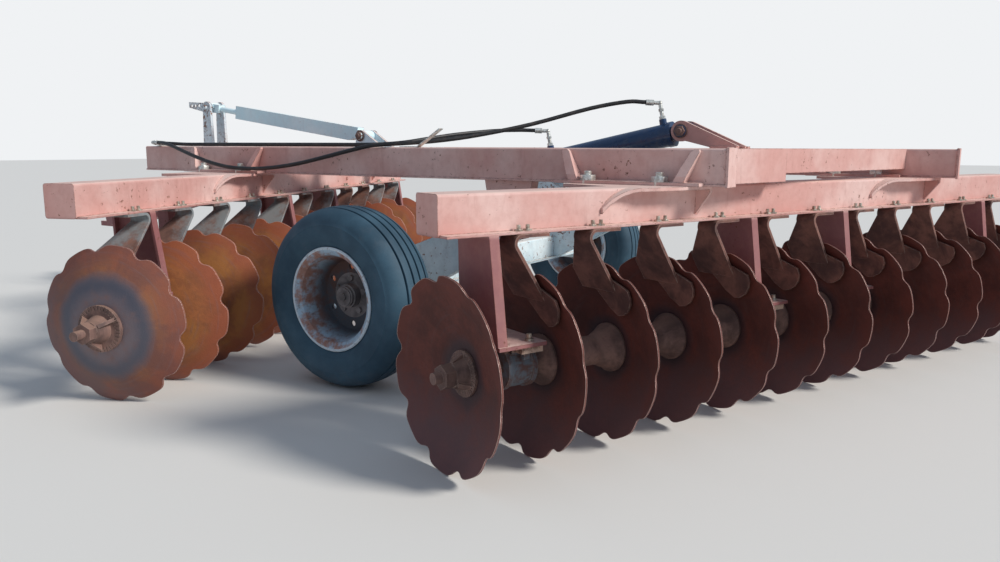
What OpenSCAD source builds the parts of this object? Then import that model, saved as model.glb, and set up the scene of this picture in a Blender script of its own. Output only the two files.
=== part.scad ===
// Offset disc harrow, towed, standing on its discs and its two transport wheels.
// Millimetres, +X to the harrow's right, +Y the way it is towed, +Z up, ground at z = 0.
// The drawing frame starts on the ground under the hub of the rear gang's left disc.

/* [Discs] */
// diameter of a disc over its lobes
disc_dia = 711; // [560:5:810]
// plate thickness of a disc
disc_thick = 7; // [5:0.5:10]
// how far the rim stands out from the hub face
dish_depth = 92; // [60:1:120]
// number of lobes round a disc
lobes = 10; // [8:1:14]
// radius of a lobe's two shoulders
lobe_r = 60; // [40:1:80]
// angle from a lobe's middle to the middle of its shoulders
lobe_turn = 7; // [5:0.5:8]
// radius in the notch between two lobes
notch_r = 35; // [20:1:45]
// discs on each gang
disc_count = 12; // [8:1:12]
// distance from disc to disc along the gang
disc_pitch = 342; // [300:1:380]

/* [Gangs] */
// angle of the rear gang, right end to the rear
rear_angle = 22.7; // [16:0.1:25]
// angle of the front gang, right end forward
front_angle = 20.5; // [16:0.1:25]
// left hub of the front gang, sideways
front_hub_x = -307; // [-400:1:-200]
// left hub of the front gang, forward
front_hub_y = 1735; // [1650:1:1850]
// height of the gang beams' top face
gang_beam_top = 990; // [950:1:1030]
// width of a gang beam
gang_beam_wide = 145; // [120:1:150]
// height of a gang beam
gang_beam_high = 145; // [120:1:160]
// how far a gang beam runs past its end hubs
gang_beam_past = 140; // [100:1:200]
// radius of the gang shaft
shaft_r = 21; // [16:0.5:25]
// radius of the journal inside a gang bearing
journal_r = 38; // [34:0.5:44]
// middle of a gang bearing from the disc at its left
bearing_x = 186; // [176:1:200]
// height of a gang bearing's seat above the shaft
bearing_high = 100; // [94:1:106]
// radius of a gang bearing's housing
housing_r = 84; // [76:1:92]
// length of a gang bearing's housing
housing_long = 126; // [100:1:140]

// thickness of the flange that holds the scrapers
flange_thick = 9; // [6:1:14]
// how far that flange stands out behind the beam
flange_wide = 46; // [40:1:60]
// corner radius of the gang beams
gang_corner = 12; // [6:1:20]
// flange radius of the end washers
washer_r = 104; // [90:1:110]

/* [Scrapers] */
// thickness of a scraper's bar
shank_thick = 12; // [8:1:16]
// width of a scraper's bar
shank_wide = 95; // [60:1:110]
// inner radius of the bar's bend
shank_bend = 20; // [12:1:30]
// length of the bar's foot
shank_foot = 120; // [80:1:140]
// lean of the bar's leg
shank_lean = 33; // [25:1:40]
// length of the bar's leg
shank_leg = 240; // [200:1:260]
// bend of a bar from the disc at its left
shank_x = 166; // [150:1:180]
// the same on the front gang
front_shank_x = 112; // [90:1:180]
// drop from the bend to the middle of the blade
shank_drop = 200; // [170:1:230]
// forward edge of the bar behind the gang's middle line
shank_rear = 0; // [-20:1:20]
// forward reach of the bar where it meets the blade
shank_spread = 100; // [60:1:110]
// gap between a blade and its disc
blade_gap = 9; // [7:0.5:14]
// thickness of a blade
blade_thick = 9; // [6:1:12]

/* [Main frame] */
// left face of the left main beam
beam_left_x = 917; // [880:1:960]
// left face of the right main beam
beam_right_x = 2584; // [2500:1:2650]
// width of a main beam
main_wide = 100; // [90:1:110]
// height of a main beam
main_high = 150; // [130:1:160]
// front end of the main beams
main_front_y = 3140; // [3050:1:3250]
// overhang of the main beams behind the rear gang beam's middle line
main_overhang = 222; // [180:1:260]
// middle line of the frame, the drawbar and the cylinder
centre_x = 1800; // [1700:1:1900]

// thickness of the clamp plates beside the main beams
clamp_thick = 14; // [10:1:20]
// how far the clamp plates stand out
clamp_wide = 60; // [50:1:80]
// thickness of the bottom plate of a main beam
lip_thick = 8; // [5:1:12]
// how far that bottom plate stands out on each side
lip_out = 6; // [4:1:10]
// angle of the rear cross member
member_angle = 16.4; // [12:0.1:22]

/* [Axle] */
// height of the hinge line of the wheel frame
hinge_z = 780; // [740:1:820]
// place of the hinge line, forward
hinge_y = 420; // [380:1:460]
// radius of the hinge tube of the wheel frame
hinge_r = 45; // [38:1:50]
// side of the square axle tube
axle_side = 140; // [120:1:160]
// wheel spindle, forward
wheel_y = 1085; // [1040:1:1120]
// outer radius of a tyre
tyre_r = 434; // [400:1:445]
// width of a tyre
tyre_wide = 289; // [250:1:300]
// outer face of the left tyre
tyre_left_x = 417; // [400:1:440]
// radius of the rim's flange
rim_r = 235; // [215:1:250]

/* [Cylinder] */
// base pin of the lift cylinder, forward
cyl_pin_y = -116; // [-160:1:-80]
// base pin of the lift cylinder, height
cyl_pin_z = 1226; // [1210:1:1245]
// rear end of the cylinder's lugs
lug_rear_y = -410; // [-440:1:-380]
// rod pin on the crank, forward
crank_y = 900; // [860:1:940]
// rod pin on the crank, height
crank_z = 1014; // [1000:1:1030]
// outer radius of the barrel
barrel_r = 61; // [55:1:66]

/* [Drawbar] */
// hinge of the drawbar, forward
draw_hinge_y = 3235; // [3200:1:3280]
// hinge of the drawbar, height
draw_hinge_z = 900; // [860:1:930]
// hitch hole, forward
hitch_y = 5000; // [4800:10:5200]
// hitch hole, height
hitch_z = 480; // [430:5:540]
// radius of the hitch hole
hitch_hole_r = 17; // [14:0.5:20]
// mast pin, forward
mast_pin_y = 3575; // [3540:1:3620]
// mast pin, height
mast_pin_z = 1424; // [1400:1:1450]
// stay's eye on the frame, forward
stay_eye_y = 2055; // [2020:1:2090]
// stay's eye on the frame, height
stay_eye_z = 1211; // [1195:1:1225]

/* [Hidden] */
$fn = 48;
disc_r = disc_dia / 2;
bowl_r = (disc_r * disc_r + dish_depth * dish_depth) / (2 * dish_depth);
gang_long = (disc_count - 1) * disc_pitch;
gang_beam_base = gang_beam_top - gang_beam_high;
beam_y = 33;
beam_rear_y = beam_y - gang_beam_wide / 2;
beam_front_y = beam_y + gang_beam_wide / 2;
main_base = gang_beam_top;
main_top = main_base + main_high;
gap = 0.3;
bearing_after = [1, 5, 7, disc_count - 1];
bend_steps = 12;
// grooves across the tread, as shares of the tyre's width
tread_grooves = [0.25, 0.42, 0.58, 0.75];
half_turns = [0, 1, 0, 0, 1, 0, 1];
rear_turn = 6;
front_turn = -10;
blade_outline = [
  [100, 672], [6, 676], [-70, 652], [-185, 618], [-190, 590], [-178, 560], [-150, 527], [-112, 506],
  [-80, 500],
  [-32, 528], [31, 599]
];
rear_slope = tan(rear_angle);
front_slope = tan(front_angle);
left_end_y = -beam_left_x * rear_slope - main_overhang;
right_end_y = -beam_right_x * rear_slope - main_overhang;
wheel_z = tyre_r;
tyre_right_x = beam_left_x + beam_right_x + main_wide - tyre_left_x - tyre_wide;
frame_red = [0.62, 0.33, 0.29];
disc_rust = [0.48, 0.25, 0.15];
cast_rust = [0.36, 0.22, 0.17];
zinc = [0.55, 0.54, 0.5];
pale_blue = [0.72, 0.77, 0.82];
rubber_black = [0.13, 0.14, 0.15];
navy = [0.03, 0.05, 0.09];
origin_x = 1583;
origin_y = 1663;

// drawing frame to object frame
module put() {
  translate([-origin_x, -origin_y, 0]) children();
}

// rear gang's own frame: +X along the gang, +Y forward across it
module rear_gang() {
  put() rotate([0, 0, -rear_angle]) children();
}

module front_gang() {
  put() translate([front_hub_x, front_hub_y, 0]) rotate([0, 0, front_angle]) children();
}

// box from its low corner to its high corner
module block(low, high) {
  translate(low) cube([high[0] - low[0], high[1] - low[1], high[2] - low[2]]);
}

// round bar along X
module rod_x(r, x0, x1) {
  translate([x0, 0, 0]) rotate([0, 90, 0]) cylinder(r = r, h = x1 - x0);
}

// flat plate in the Y-Z plane, from x0 to x1, outline given as [y, z] points
module plate_x(x0, x1, outline) {
  translate([x0, 0, 0]) rotate([90, 0, 90]) linear_extrude(x1 - x0) polygon(outline);
}

// with the notch along +X: middle of the next shoulder, middle of the notch circle that touches
// both shoulders from outside, and the point where they touch
lobe_far = disc_r - lobe_r;
notch_turn = 180 / lobes;
shoulder_x = lobe_far * cos(notch_turn - lobe_turn);
shoulder_y = lobe_far * sin(notch_turn - lobe_turn);
notch_far = shoulder_x + sqrt(pow(lobe_r + notch_r, 2) - pow(shoulder_y, 2));
// half the angle that the notch circle's arc spans
notch_span = atan2(shoulder_y, notch_far - shoulder_x);

// points of an arc round (x, y), without its last point
function arc(x, y, r, from, to, steps) =
  [for (i = [0 : steps - 1]) let (a = from + (to - from) * i / steps) [x + r * cos(a), y + r * sin(a)]];

// from the middle of one lobe to the middle of the next: flat, shoulder, notch, shoulder, flat
lobe_points = concat(
  arc(0, 0, disc_r, -notch_turn, lobe_turn - notch_turn, 3),
  arc(shoulder_x, -shoulder_y, lobe_r, lobe_turn - notch_turn, notch_span, 3),
  arc(notch_far, 0, notch_r, 180 + notch_span, 180 - notch_span, 5),
  arc(shoulder_x, shoulder_y, lobe_r, -notch_span, notch_turn - lobe_turn, 3),
  arc(0, 0, disc_r, notch_turn - lobe_turn, notch_turn, 3)
);
function turned_point(p, a) = [p[0] * cos(a) - p[1] * sin(a), p[0] * sin(a) + p[1] * cos(a)];

// lobed outline of a disc: flat lobes, round shoulders and round notches
module disc_outline() {
  difference() {
    polygon([for (i = [0 : lobes - 1], p = lobe_points) turned_point(p, (i + 0.5) * 360 / lobes)]);
    circle(r = shaft_r + gap);
  }
}

// one disc, axis along X, hollow side towards -X, hub face at x = 0
module disc() {
  rotate([0, 90, 0]) intersection() {
    difference() {
      translate([0, 0, -bowl_r]) sphere(r = bowl_r, $fn = 96);
      translate([0, 0, -bowl_r]) sphere(r = bowl_r - disc_thick, $fn = 96);
    }
    translate([0, 0, -dish_depth - 40]) linear_extrude(dish_depth + 60) disc_outline();
  }
}

// spool between two discs, its ends shaped to the discs' faces; slim is the radius of its waist
module spool(slim) {
  long = disc_pitch;
  flare = slim == journal_r ? long - bearing_x - housing_long / 2 - 6 : 104;
  rotate([0, 90, 0]) difference() {
    intersection() {
      rotate_extrude()
        polygon([
          [shaft_r + gap, -20], [84, -20], [84, 14], [slim + 9, 52], [slim, 84], [slim, long - flare],
          [slim + 10, long - flare + 26], [88, long - 36], [98, long - 22], [98, long + 20],
          [shaft_r + gap, long + 20]
        ]);
      translate([0, 0, long - bowl_r]) sphere(r = bowl_r - disc_thick - gap, $fn = 96);
    }
    translate([0, 0, -bowl_r]) sphere(r = bowl_r + gap, $fn = 96);
  }
}

// the square hole lets a disc sit in one of two turns, half a lobe apart
module gang_discs(gang_turn) {
  for (k = [0 : disc_count - 1])
    translate([k * disc_pitch, 0, disc_r])
      rotate([gang_turn + half_turns[k % len(half_turns)] * 180 / lobes, 0, 0]) disc();
}

// waist radius of the spool after disc k
function waist(k) = len(search(k + 1, bearing_after)) > 0 ? journal_r : 58;

module gang_spools() {
  for (k = [0 : disc_count - 2]) translate([k * disc_pitch, 0, disc_r]) spool(waist(k));
}

// cast end washer with webs, nut and threaded end; base at z = 0, growing to +Z
module end_washer(base_r, hub_long) {
  teeth = 36;
  difference() {
    union() {
      cylinder(r = base_r, h = 20);
      cylinder(r1 = 66, r2 = 44, h = hub_long);
      // three webs from the flange up the hub
      for (a = [0 : 120 : 240]) rotate([90, 0, a]) translate([0, 0, -8])
        linear_extrude(16)
          polygon([[30, 0], [base_r - 4, 18], [base_r - 14, 26], [52, hub_long - 4], [30, hub_long - 4]]);
    }
    translate([0, 0, -60]) cylinder(r = shaft_r, h = hub_long + 80);
    // cast ribs between grooves round the flange's face
    for (i = [0 : teeth - 1]) rotate(i * 360 / teeth) translate([base_r - 22, -2, 17]) cube([40, 4, 6]);
  }
  translate([0, 0, hub_long]) difference() {
    cylinder(r = 46, h = 42, $fn = 6);
    translate([0, 0, -1]) cylinder(r = shaft_r, h = 50);
  }
}

// gang shaft with its end washers and nuts
module gang_shaft_parts() {
  hollow_hub = 66;
  bulge_hub = 84;
  translate([0, 0, disc_r]) {
    rod_x(shaft_r, -hollow_hub - 76, gang_long + bulge_hub + 82);
    // washer in the hollow of the left disc
    difference() {
      rotate([0, -90, 0]) translate([0, 0, disc_thick - 4]) end_washer(84, hollow_hub);
      rotate([0, 90, 0]) difference() {
        translate([0, 0, -30]) cylinder(r = 120, h = 60);
        translate([0, 0, -bowl_r]) sphere(r = bowl_r - disc_thick - gap, $fn = 96);
      }
    }
    // washer on the bulge of the right disc
    difference() {
      translate([gang_long, 0, 0]) rotate([0, 90, 0]) translate([0, 0, -8])
        end_washer(washer_r, bulge_hub);
      translate([gang_long, 0, 0]) rotate([0, 90, 0]) translate([0, 0, -bowl_r])
        sphere(r = bowl_r + gap, $fn = 96);
    }
  }
}

// the front gang is the rear gang's layout with its hollow sides turned to the right
module turned() {
  translate([gang_long, 0, 0]) mirror([1, 0, 0]) children();
}

// bearing housing round a journal, axis along X, middle at the origin
module bearing() {
  half = housing_long / 2;
  difference() {
    union() {
      rod_x(housing_r - 6, -half, half);
      for (x = [-half, half - 20]) rod_x(housing_r, x, x + 20);
      block([-34, -56, 0], [34, 56, bearing_high - 10]);
      for (y = [-100, 78]) block([-12, y, housing_r - 40], [12, y + 22, bearing_high - 10]);
      block([-46, -134, bearing_high - 26], [46, 114, bearing_high]);
    }
    rod_x(journal_r + 1, -housing_long, housing_long);
    for (y = [-112, 92]) translate([0, y, bearing_high - 60]) cylinder(r = 9, h = 70);
  }
}

module gang_bearings() {
  for (k = bearing_after) translate([(k - 1) * disc_pitch + bearing_x, 0, disc_r]) bearing();
}

// standard from the gang beam down to its foot plate: web, flanges at both edges
module standard() {
  top = gang_beam_base;
  foot = disc_r + bearing_high;
  front_top = 112;
  rear_top = -88;
  difference() {
    plate_x(32, 72, [[rear_top, top], [front_top, top], [100, foot], [-146, foot]]);
    plate_x(44, 73, [[rear_top + 13, top + 1], [front_top - 12, top + 1], [88, foot + 14],
      [-132, foot + 14]]);
  }
  difference() {
    block([32, -152, foot], [bearing_x + 50, 120, foot + 14]);
    for (y = [-112, 92]) translate([bearing_x, y, foot - 1]) cylinder(r = 9, h = 20);
  }
  // gusset between the web and the foot plate
  translate([0, -20, 0]) rotate([90, 0, 0]) linear_extrude(12)
    polygon([[72, foot + 14], [150, foot + 14], [72, foot + 110]]);
}

// bolts of the bearings, heads above the foot plate
module gang_bearing_bolts() {
  foot = disc_r + bearing_high;
  for (k = bearing_after, y = [-112, 92])
    translate([(k - 1) * disc_pitch + bearing_x, y, foot + 14]) {
      cylinder(r = 15, h = 14, $fn = 6);
      cylinder(r = 8, h = 30);
      translate([0, 0, -42]) cylinder(r = 8.7, h = 42);
    }
}

module gang_standards() {
  for (k = bearing_after) translate([(k - 1) * disc_pitch, 0, 0]) standard();
}

// rectangle with round corners, low corner at the origin
module round_box(wide, high, corner) {
  translate([corner, 0]) square([wide - 2 * corner, high]);
  translate([0, corner]) square([wide, high - 2 * corner]);
  for (x = [corner, wide - corner], y = [corner, high - corner]) translate([x, y]) circle(r = corner);
}

// gang beam with the flange that holds the scrapers, towards -Y
module gang_beam() {
  translate([-gang_beam_past, beam_rear_y, gang_beam_base]) rotate([90, 0, 90])
    linear_extrude(gang_long + 2 * gang_beam_past) round_box(gang_beam_wide, gang_beam_high, gang_corner);
  block([-gang_beam_past + 8, beam_rear_y - flange_wide, gang_beam_base],
        [gang_long + gang_beam_past - 8, beam_rear_y + gang_corner, gang_beam_base + flange_thick]);
}

// bracket under a main beam whose middle crosses the gang at x: a shelf bent down at its left end
// behind the gang beam, and a flat shelf with webs before it
module gang_bracket(x) {
  plate = 14;
  shelf_z = gang_beam_top - plate;
  bend_r = 228;
  bend_x = x - 308;
  tip_x = x - 476;
  right_x = x + 60;
  shelf_y = beam_rear_y - 76;
  intersection() {
    translate([0, beam_rear_y + gang_corner, 0]) rotate([90, 0, 0]) linear_extrude(100) {
      translate([bend_x, shelf_z]) square([right_x - bend_x, plate]);
      intersection() {
        translate([bend_x, gang_beam_top - bend_r]) difference() {
          circle(r = bend_r);
          circle(r = bend_r - plate);
        }
        translate([tip_x, gang_beam_base + 30]) square([bend_x - tip_x, gang_beam_high]);
      }
    }
    translate([0, 0, gang_beam_base]) linear_extrude(gang_beam_high + 10) polygon([
      [tip_x, beam_rear_y + 20], [tip_x, beam_rear_y - 12], [bend_x + 60, shelf_y], [right_x, shelf_y],
      [right_x, beam_rear_y + 20]
    ]);
  }
  plate_x(right_x - plate, right_x, [
    [beam_rear_y, shelf_z], [shelf_y, shelf_z], [shelf_y, shelf_z - 12], [beam_rear_y, gang_beam_base + 24]
  ]);
  block([bend_x - 20, beam_front_y - gang_corner, shelf_z],
    [right_x - 20, beam_front_y + 262, gang_beam_top]);
  for (web_x = [bend_x - 6, right_x - 50])
    plate_x(web_x, web_x + plate, [
      [beam_front_y, shelf_z], [beam_front_y + 240, shelf_z], [beam_front_y + 240, shelf_z - 14],
      [beam_front_y, gang_beam_base + 20]
    ]);
}

// points of the bend's arc, from the foot round to the leg
function bend_arc(r, lean) = [
  for (i = [0 : bend_steps]) let (a = 90 + i * (90 + lean) / bend_steps) r * [cos(a), sin(a)]
];

// end of the leg that starts on the bend at radius r
function leg_end(r, lean) = [shank_leg * sin(lean) - r * cos(lean), -shank_leg * cos(lean)
  - r * sin(lean)];

// side view of a scraper's bent bar, its bend at the origin
module shank_profile(lean) {
  inner = bend_arc(shank_bend, lean);
  polygon(concat(
    [[shank_foot, shank_bend], [shank_foot, shank_bend + shank_thick]],
    bend_arc(shank_bend + shank_thick, lean),
    [leg_end(shank_bend + shank_thick, lean), leg_end(shank_bend, lean)],
    [for (i = [bend_steps : -1 : 0]) inner[i]]
  ));
}

// scraper for a disc at the origin, hollow side towards -X; its bar is bent at bend_x
module scraper(bend_x) {
  foot_z = gang_beam_base - shank_bend - shank_thick;
  lean = atan(tan(shank_lean) + (shank_x - disc_pitch - bend_x) / shank_drop);
  difference() {
    intersection() {
      translate([bend_x, shank_spread, foot_z]) rotate([90, 0, 0])
        linear_extrude(shank_spread + shank_wide + shank_rear) shank_profile(lean);
      // the bar grows wider towards the blade
      plate_x(-disc_pitch, disc_pitch, [
        [-shank_wide - shank_rear, 500], [shank_spread, 500], [shank_spread, 676], [-shank_rear, 800],
        [-shank_rear, gang_beam_top], [-shank_wide - shank_rear, gang_beam_top]
      ]);
    }
    // the bar's end stops half way into the blade
    translate([0, 0, disc_r]) rotate([0, 90, 0]) difference() {
      translate([0, 0, -300]) cylinder(r = disc_r - 10, h = 350);
      translate([0, 0, -bowl_r]) sphere(r = bowl_r - disc_thick - blade_gap - blade_thick / 2, $fn = 96);
    }
  }
  // blade, curved like the disc's hollow face
  intersection() {
    translate([0, 0, disc_r]) rotate([0, 90, 0]) difference() {
      translate([0, 0, -bowl_r]) sphere(r = bowl_r - disc_thick - blade_gap, $fn = 96);
      translate([0, 0, -bowl_r]) sphere(r = bowl_r - disc_thick - blade_gap - blade_thick, $fn = 96);
    }
    plate_x(-160, 0, blade_outline);
  }
}

module gang_scrapers(bend_x) {
  for (k = [1 : disc_count - 1]) translate([k * disc_pitch, 0, 0]) scraper(bend_x);
}

module gang_scraper_bolts(bend_x) {
  for (k = [1 : disc_count - 1], dx = [6, 46])
    translate([k * disc_pitch + bend_x + dx, beam_rear_y - 24, gang_beam_base + flange_thick]) {
      cylinder(r = 12, h = 11, $fn = 6);
      cylinder(r = 7, h = 20);
    }
}

// main beam: round top corners, bottom plate a little wider, end plate
module main_beam(x0, rear_y) {
  corner = 10;
  translate([x0, main_front_y, main_base]) rotate([90, 0, 0]) linear_extrude(main_front_y - rear_y) {
    square([main_wide, main_high - corner]);
    translate([corner, 0]) square([main_wide - 2 * corner, main_high]);
    for (x = [corner, main_wide - corner]) translate([x, main_high - corner]) circle(r = corner);
  }
  block([x0 - lip_out, rear_y, main_base],
    [x0 + main_wide + lip_out, main_front_y, main_base + lip_thick]);
  block([x0 - lip_out, rear_y - 10, main_base - 4], [x0 + main_wide + lip_out, rear_y, main_top + 4]);
}

module main_beam_left() color(frame_red) put() {
  main_beam(beam_left_x, left_end_y);
}

module main_beam_right() color(frame_red) put() {
  main_beam(beam_right_x, right_end_y);
}

// rear cross member: a deep welded end piece at the left, then a shallower tube
module cross_member_rear() color(frame_red) put() {
  span = beam_right_x - beam_left_x - main_wide;
  deep_long = 400;
  difference() {
    translate([beam_left_x + main_wide, left_end_y + 4, 0]) rotate([0, 0, -member_angle]) {
      block([-100, 0, main_base + 44], [span / cos(member_angle) + 100, 80, main_top]);
      block([-100, -8, main_base + lip_thick], [deep_long, 96, main_top]);
    }
    block([beam_left_x - 200, -3000, 0], [beam_left_x + main_wide, 3000, 2000]);
    block([beam_right_x, -3000, 0], [beam_right_x + 400, 3000, 2000]);
    block([beam_left_x, -3000, 0], [beam_left_x + main_wide + lip_out, left_end_y + 1, 2000]);
  }
}

module cross_member_mid() color(frame_red) put() {
  block([beam_left_x + main_wide, lug_rear_y - 10, main_base + 20],
    [beam_right_x, lug_rear_y + 140, main_top]);
}

// front cross member with the two lugs of the drawbar hinge and its pin
module cross_member_front() color(frame_red) put() {
  lug = 20;
  block([beam_left_x + main_wide, main_front_y - 110, main_base + lip_thick],
    [beam_right_x, main_front_y, main_top]);
  for (x = [centre_x - 330, centre_x + 290])
    difference() {
      union() {
        plate_x(x, x + lug, [
          [main_front_y - 100, main_base + lip_thick], [main_front_y, main_base + lip_thick],
          [main_front_y, main_base + 60], [draw_hinge_y + 43, draw_hinge_z + 14],
          [draw_hinge_y - 43, draw_hinge_z - 14]
        ]);
        translate([0, draw_hinge_y, draw_hinge_z]) rod_x(45, x, x + lug);
      }
      translate([0, draw_hinge_y, draw_hinge_z]) rod_x(20, x - 1, x + lug + 1);
    }
  translate([0, draw_hinge_y, draw_hinge_z]) rod_x(20, centre_x - 340, centre_x + 320);
}

// along the gang, where a main beam's middle crosses it
function rear_cross(x) = (x + main_wide / 2) / cos(rear_angle);
function front_cross(x) = (x + main_wide / 2 - front_hub_x) / cos(front_angle);

module gang_beam_rear() color(frame_red) rear_gang() {
  gang_beam();
  for (x = [beam_left_x, beam_right_x]) gang_bracket(rear_cross(x));
}

module gang_beam_front() color(frame_red) front_gang() {
  gang_beam();
  for (x = [beam_left_x, beam_right_x]) gang_bracket(front_cross(x));
  // pocket with a short tube under the beam's front edge
  pocket_z = gang_beam_base - 126;
  difference() {
    block([640, beam_front_y - 34, pocket_z], [760, beam_front_y + 26, gang_beam_base]);
    block([652, beam_front_y - 22, pocket_z - 1], [748, beam_front_y + 14, gang_beam_base - 12]);
  }
  block([640, beam_front_y - 6, gang_beam_base - 20], [760, beam_front_y + 26, gang_beam_base + 40]);
  translate([656, beam_front_y - 60, pocket_z + 20]) rotate([-90, 0, 0]) difference() {
    cylinder(r = 20, h = 30);
    translate([0, 0, -1]) cylinder(r = 13, h = 32);
  }
}

// clamp plates beside the main beams: beam's left face, gang line there, rear end, front end, bolts,
// rear gusset, front gusset; ends and bolts measured from the gang line
line_rear = [-(beam_left_x - 34) * rear_slope, -(beam_right_x - 34) * rear_slope];
line_front = [
  front_hub_y + (beam_left_x - 34 - front_hub_x) * front_slope,
  front_hub_y + (beam_right_x - 34 - front_hub_x) * front_slope
];
clamps = [
  [beam_left_x, line_rear[0], -150, 500, [27, 352], 1, 1],
  [beam_right_x, line_rear[1], 22, 500, [140, 352], 0, 1],
  [beam_left_x, line_front[0], -150, 500, [27, 352], 1, 1],
  [beam_right_x, line_front[1], -150, 224, [27, 170], 1, 0]
];

// leaning gusset between a main beam and its clamp plate; lean is -1 or 1
module clamp_gusset(x, y, lean) {
  foot = main_base + clamp_thick;
  intersection() {
    plate_x(x - 100, x, [
      [y, foot], [y + 46, foot], [y + 46 + lean * 56, main_top - 14], [y + 36 + lean * 60, main_top - 4],
      [y + 16 + lean * 60, main_top - 4], [y + 8 + lean * 56, main_top - 14]
    ]);
    translate([0, 4000, 0]) rotate([90, 0, 0]) linear_extrude(6000) polygon([
      [x, foot], [x - clamp_wide, foot], [x - clamp_wide, foot + 24], [x - 14, main_top], [x, main_top]
    ]);
  }
}

module gang_clamps() color(frame_red) put() {
  for (c = clamps) {
    edge = c[0] - lip_out;
    block([edge - clamp_wide, c[1] + c[2], main_base], [edge, c[1] + c[3], main_base + clamp_thick]);
    if (c[5] == 1) clamp_gusset(c[0], c[1] + c[2] + 66, -1);
    if (c[6] == 1) clamp_gusset(c[0], c[1] + c[3] - 112, 1);
  }
}

module clamp_bolts() color(zinc) put() {
  for (c = clamps, dy = c[4])
    translate([c[0] - 34, c[1] + dy, main_base + clamp_thick]) {
      cylinder(r = 31, h = 6);
      cylinder(r = 27, h = 36, $fn = 6);
      cylinder(r = 13, h = 46);
    }
}

module standards_rear() color(frame_red) rear_gang() gang_standards();

module standards_front() color(frame_red) front_gang() turned() gang_standards();

module bearings_rear() color(cast_rust) rear_gang() gang_bearings();

module bearings_front() color(cast_rust) front_gang() turned() gang_bearings();

module scrapers_rear() color(cast_rust) rear_gang() gang_scrapers(shank_x - disc_pitch);

module scrapers_front() color(cast_rust) front_gang() turned() gang_scrapers(front_shank_x - disc_pitch);

module scraper_bolts() color(zinc) {
  rear_gang() gang_scraper_bolts(shank_x - disc_pitch);
  front_gang() turned() gang_scraper_bolts(front_shank_x - disc_pitch);
}

module bearing_bolts() color(zinc) {
  rear_gang() gang_bearing_bolts();
  front_gang() turned() gang_bearing_bolts();
}

// two lugs with round noses for the cylinder's base pin
module cylinder_lugs() color(frame_red) put() {
  plate = 24;
  nose_r = 52;
  for (x = [centre_x - 50 - plate, centre_x + 50])
    difference() {
      union() {
        plate_x(x, x + plate, [
          [lug_rear_y, main_top], [lug_rear_y + 120, main_top], [cyl_pin_y + 40, cyl_pin_z - 33],
          [cyl_pin_y - 18, cyl_pin_z + 49], [lug_rear_y, main_top + 12]
        ]);
        translate([0, cyl_pin_y, cyl_pin_z]) rod_x(nose_r, x, x + plate);
      }
      translate([0, cyl_pin_y, cyl_pin_z]) rod_x(20.3, x - 1, x + plate + 1);
    }
  // foot plate on the two cross members
  block([centre_x - 120, lug_rear_y - 6, main_top],
    [centre_x - 50 - plate, lug_rear_y + 126, main_top + 10]);
  block([centre_x + 50 + plate, lug_rear_y - 6, main_top],
    [centre_x + 120, lug_rear_y + 126, main_top + 10]);
}

module axle_hangers() color(frame_red) put() {
  for (x = [beam_left_x + 20, beam_right_x + 20])
    difference() {
      plate_x(x, x + 60, [
        [hinge_y - 130, main_base], [hinge_y + 130, main_base], [hinge_y + 80, hinge_z - 60],
        [hinge_y - 80, hinge_z - 60]
      ]);
      translate([x - 1, hinge_y, hinge_z]) rod_x(hinge_r + 0.5, 0, 62);
    }
}

// hinge tube, two arms of welded plate with caps, square axle tube and spindles
module wheel_frame() color(pale_blue) put() {
  arm_wide = 70;
  spindle_r = 28;
  axle_left = tyre_left_x + tyre_wide + 34;
  axle_right = tyre_right_x - 34;
  translate([0, hinge_y, hinge_z]) rod_x(hinge_r, beam_left_x + 10, beam_right_x + 90);
  for (x = [beam_left_x + 140, beam_right_x - 110]) {
    plate_x(x, x + arm_wide, [
      [hinge_y - 70, hinge_z - 30], [hinge_y - 30, hinge_z + 72], [hinge_y + 60, hinge_z + 80],
      [wheel_y + 40, wheel_z + axle_side + 40], [wheel_y + 96, wheel_z + axle_side],
      [wheel_y + 96, wheel_z - 10],
      [wheel_y - 90, wheel_z - 20]
    ]);
  }
  translate([axle_left, wheel_y, wheel_z + axle_side / 2 - 20]) rotate([90, 0, 90])
    linear_extrude(axle_right - axle_left) translate([-axle_side / 2, -axle_side / 2])
      round_box(axle_side, axle_side, 12);
  // brackets that carry the spindles, and a stiffening plate under the axle tube
  for (x = [axle_left, axle_right - 26])
    plate_x(x, x + 26, [
      [wheel_y - 84, wheel_z - 70], [wheel_y + 84, wheel_z - 70], [wheel_y + 84, wheel_z + axle_side - 6],
      [wheel_y - 84, wheel_z + axle_side - 6]
    ]);
  block([axle_left + 10, wheel_y - axle_side / 2 - 26, wheel_z - 26],
        [axle_right - 10, wheel_y + axle_side / 2, wheel_z - 14]);
  translate([0, wheel_y, wheel_z]) {
    rod_x(spindle_r, tyre_left_x + 150, axle_left + 10);
    rod_x(46, tyre_left_x + tyre_wide + 4, axle_left + 10);
    rod_x(spindle_r, axle_right - 10, tyre_right_x + tyre_wide - 150);
    rod_x(46, axle_right - 10, tyre_right_x - 4);
  }
}

module crank_plates() color(pale_blue) put() {
  for (x = [centre_x - 62, centre_x + 40])
    difference() {
      plate_x(x, x + 22, [
        [hinge_y - 60, hinge_z - 60], [hinge_y + 60, hinge_z - 80], [crank_y + 50, crank_z - 20],
        [crank_y + 20, crank_z + 48], [crank_y - 34, crank_z + 38], [hinge_y - 40, hinge_z + 57]
      ]);
      translate([x - 1, hinge_y, hinge_z]) rod_x(hinge_r + gap, 0, 24);
      translate([x - 1, crank_y, crank_z]) rod_x(20.3, 0, 24);
    }
  for (x = [centre_x - 80, centre_x + 40]) translate([x, crank_y, crank_z]) rod_x(20, 0, 40);
}

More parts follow.
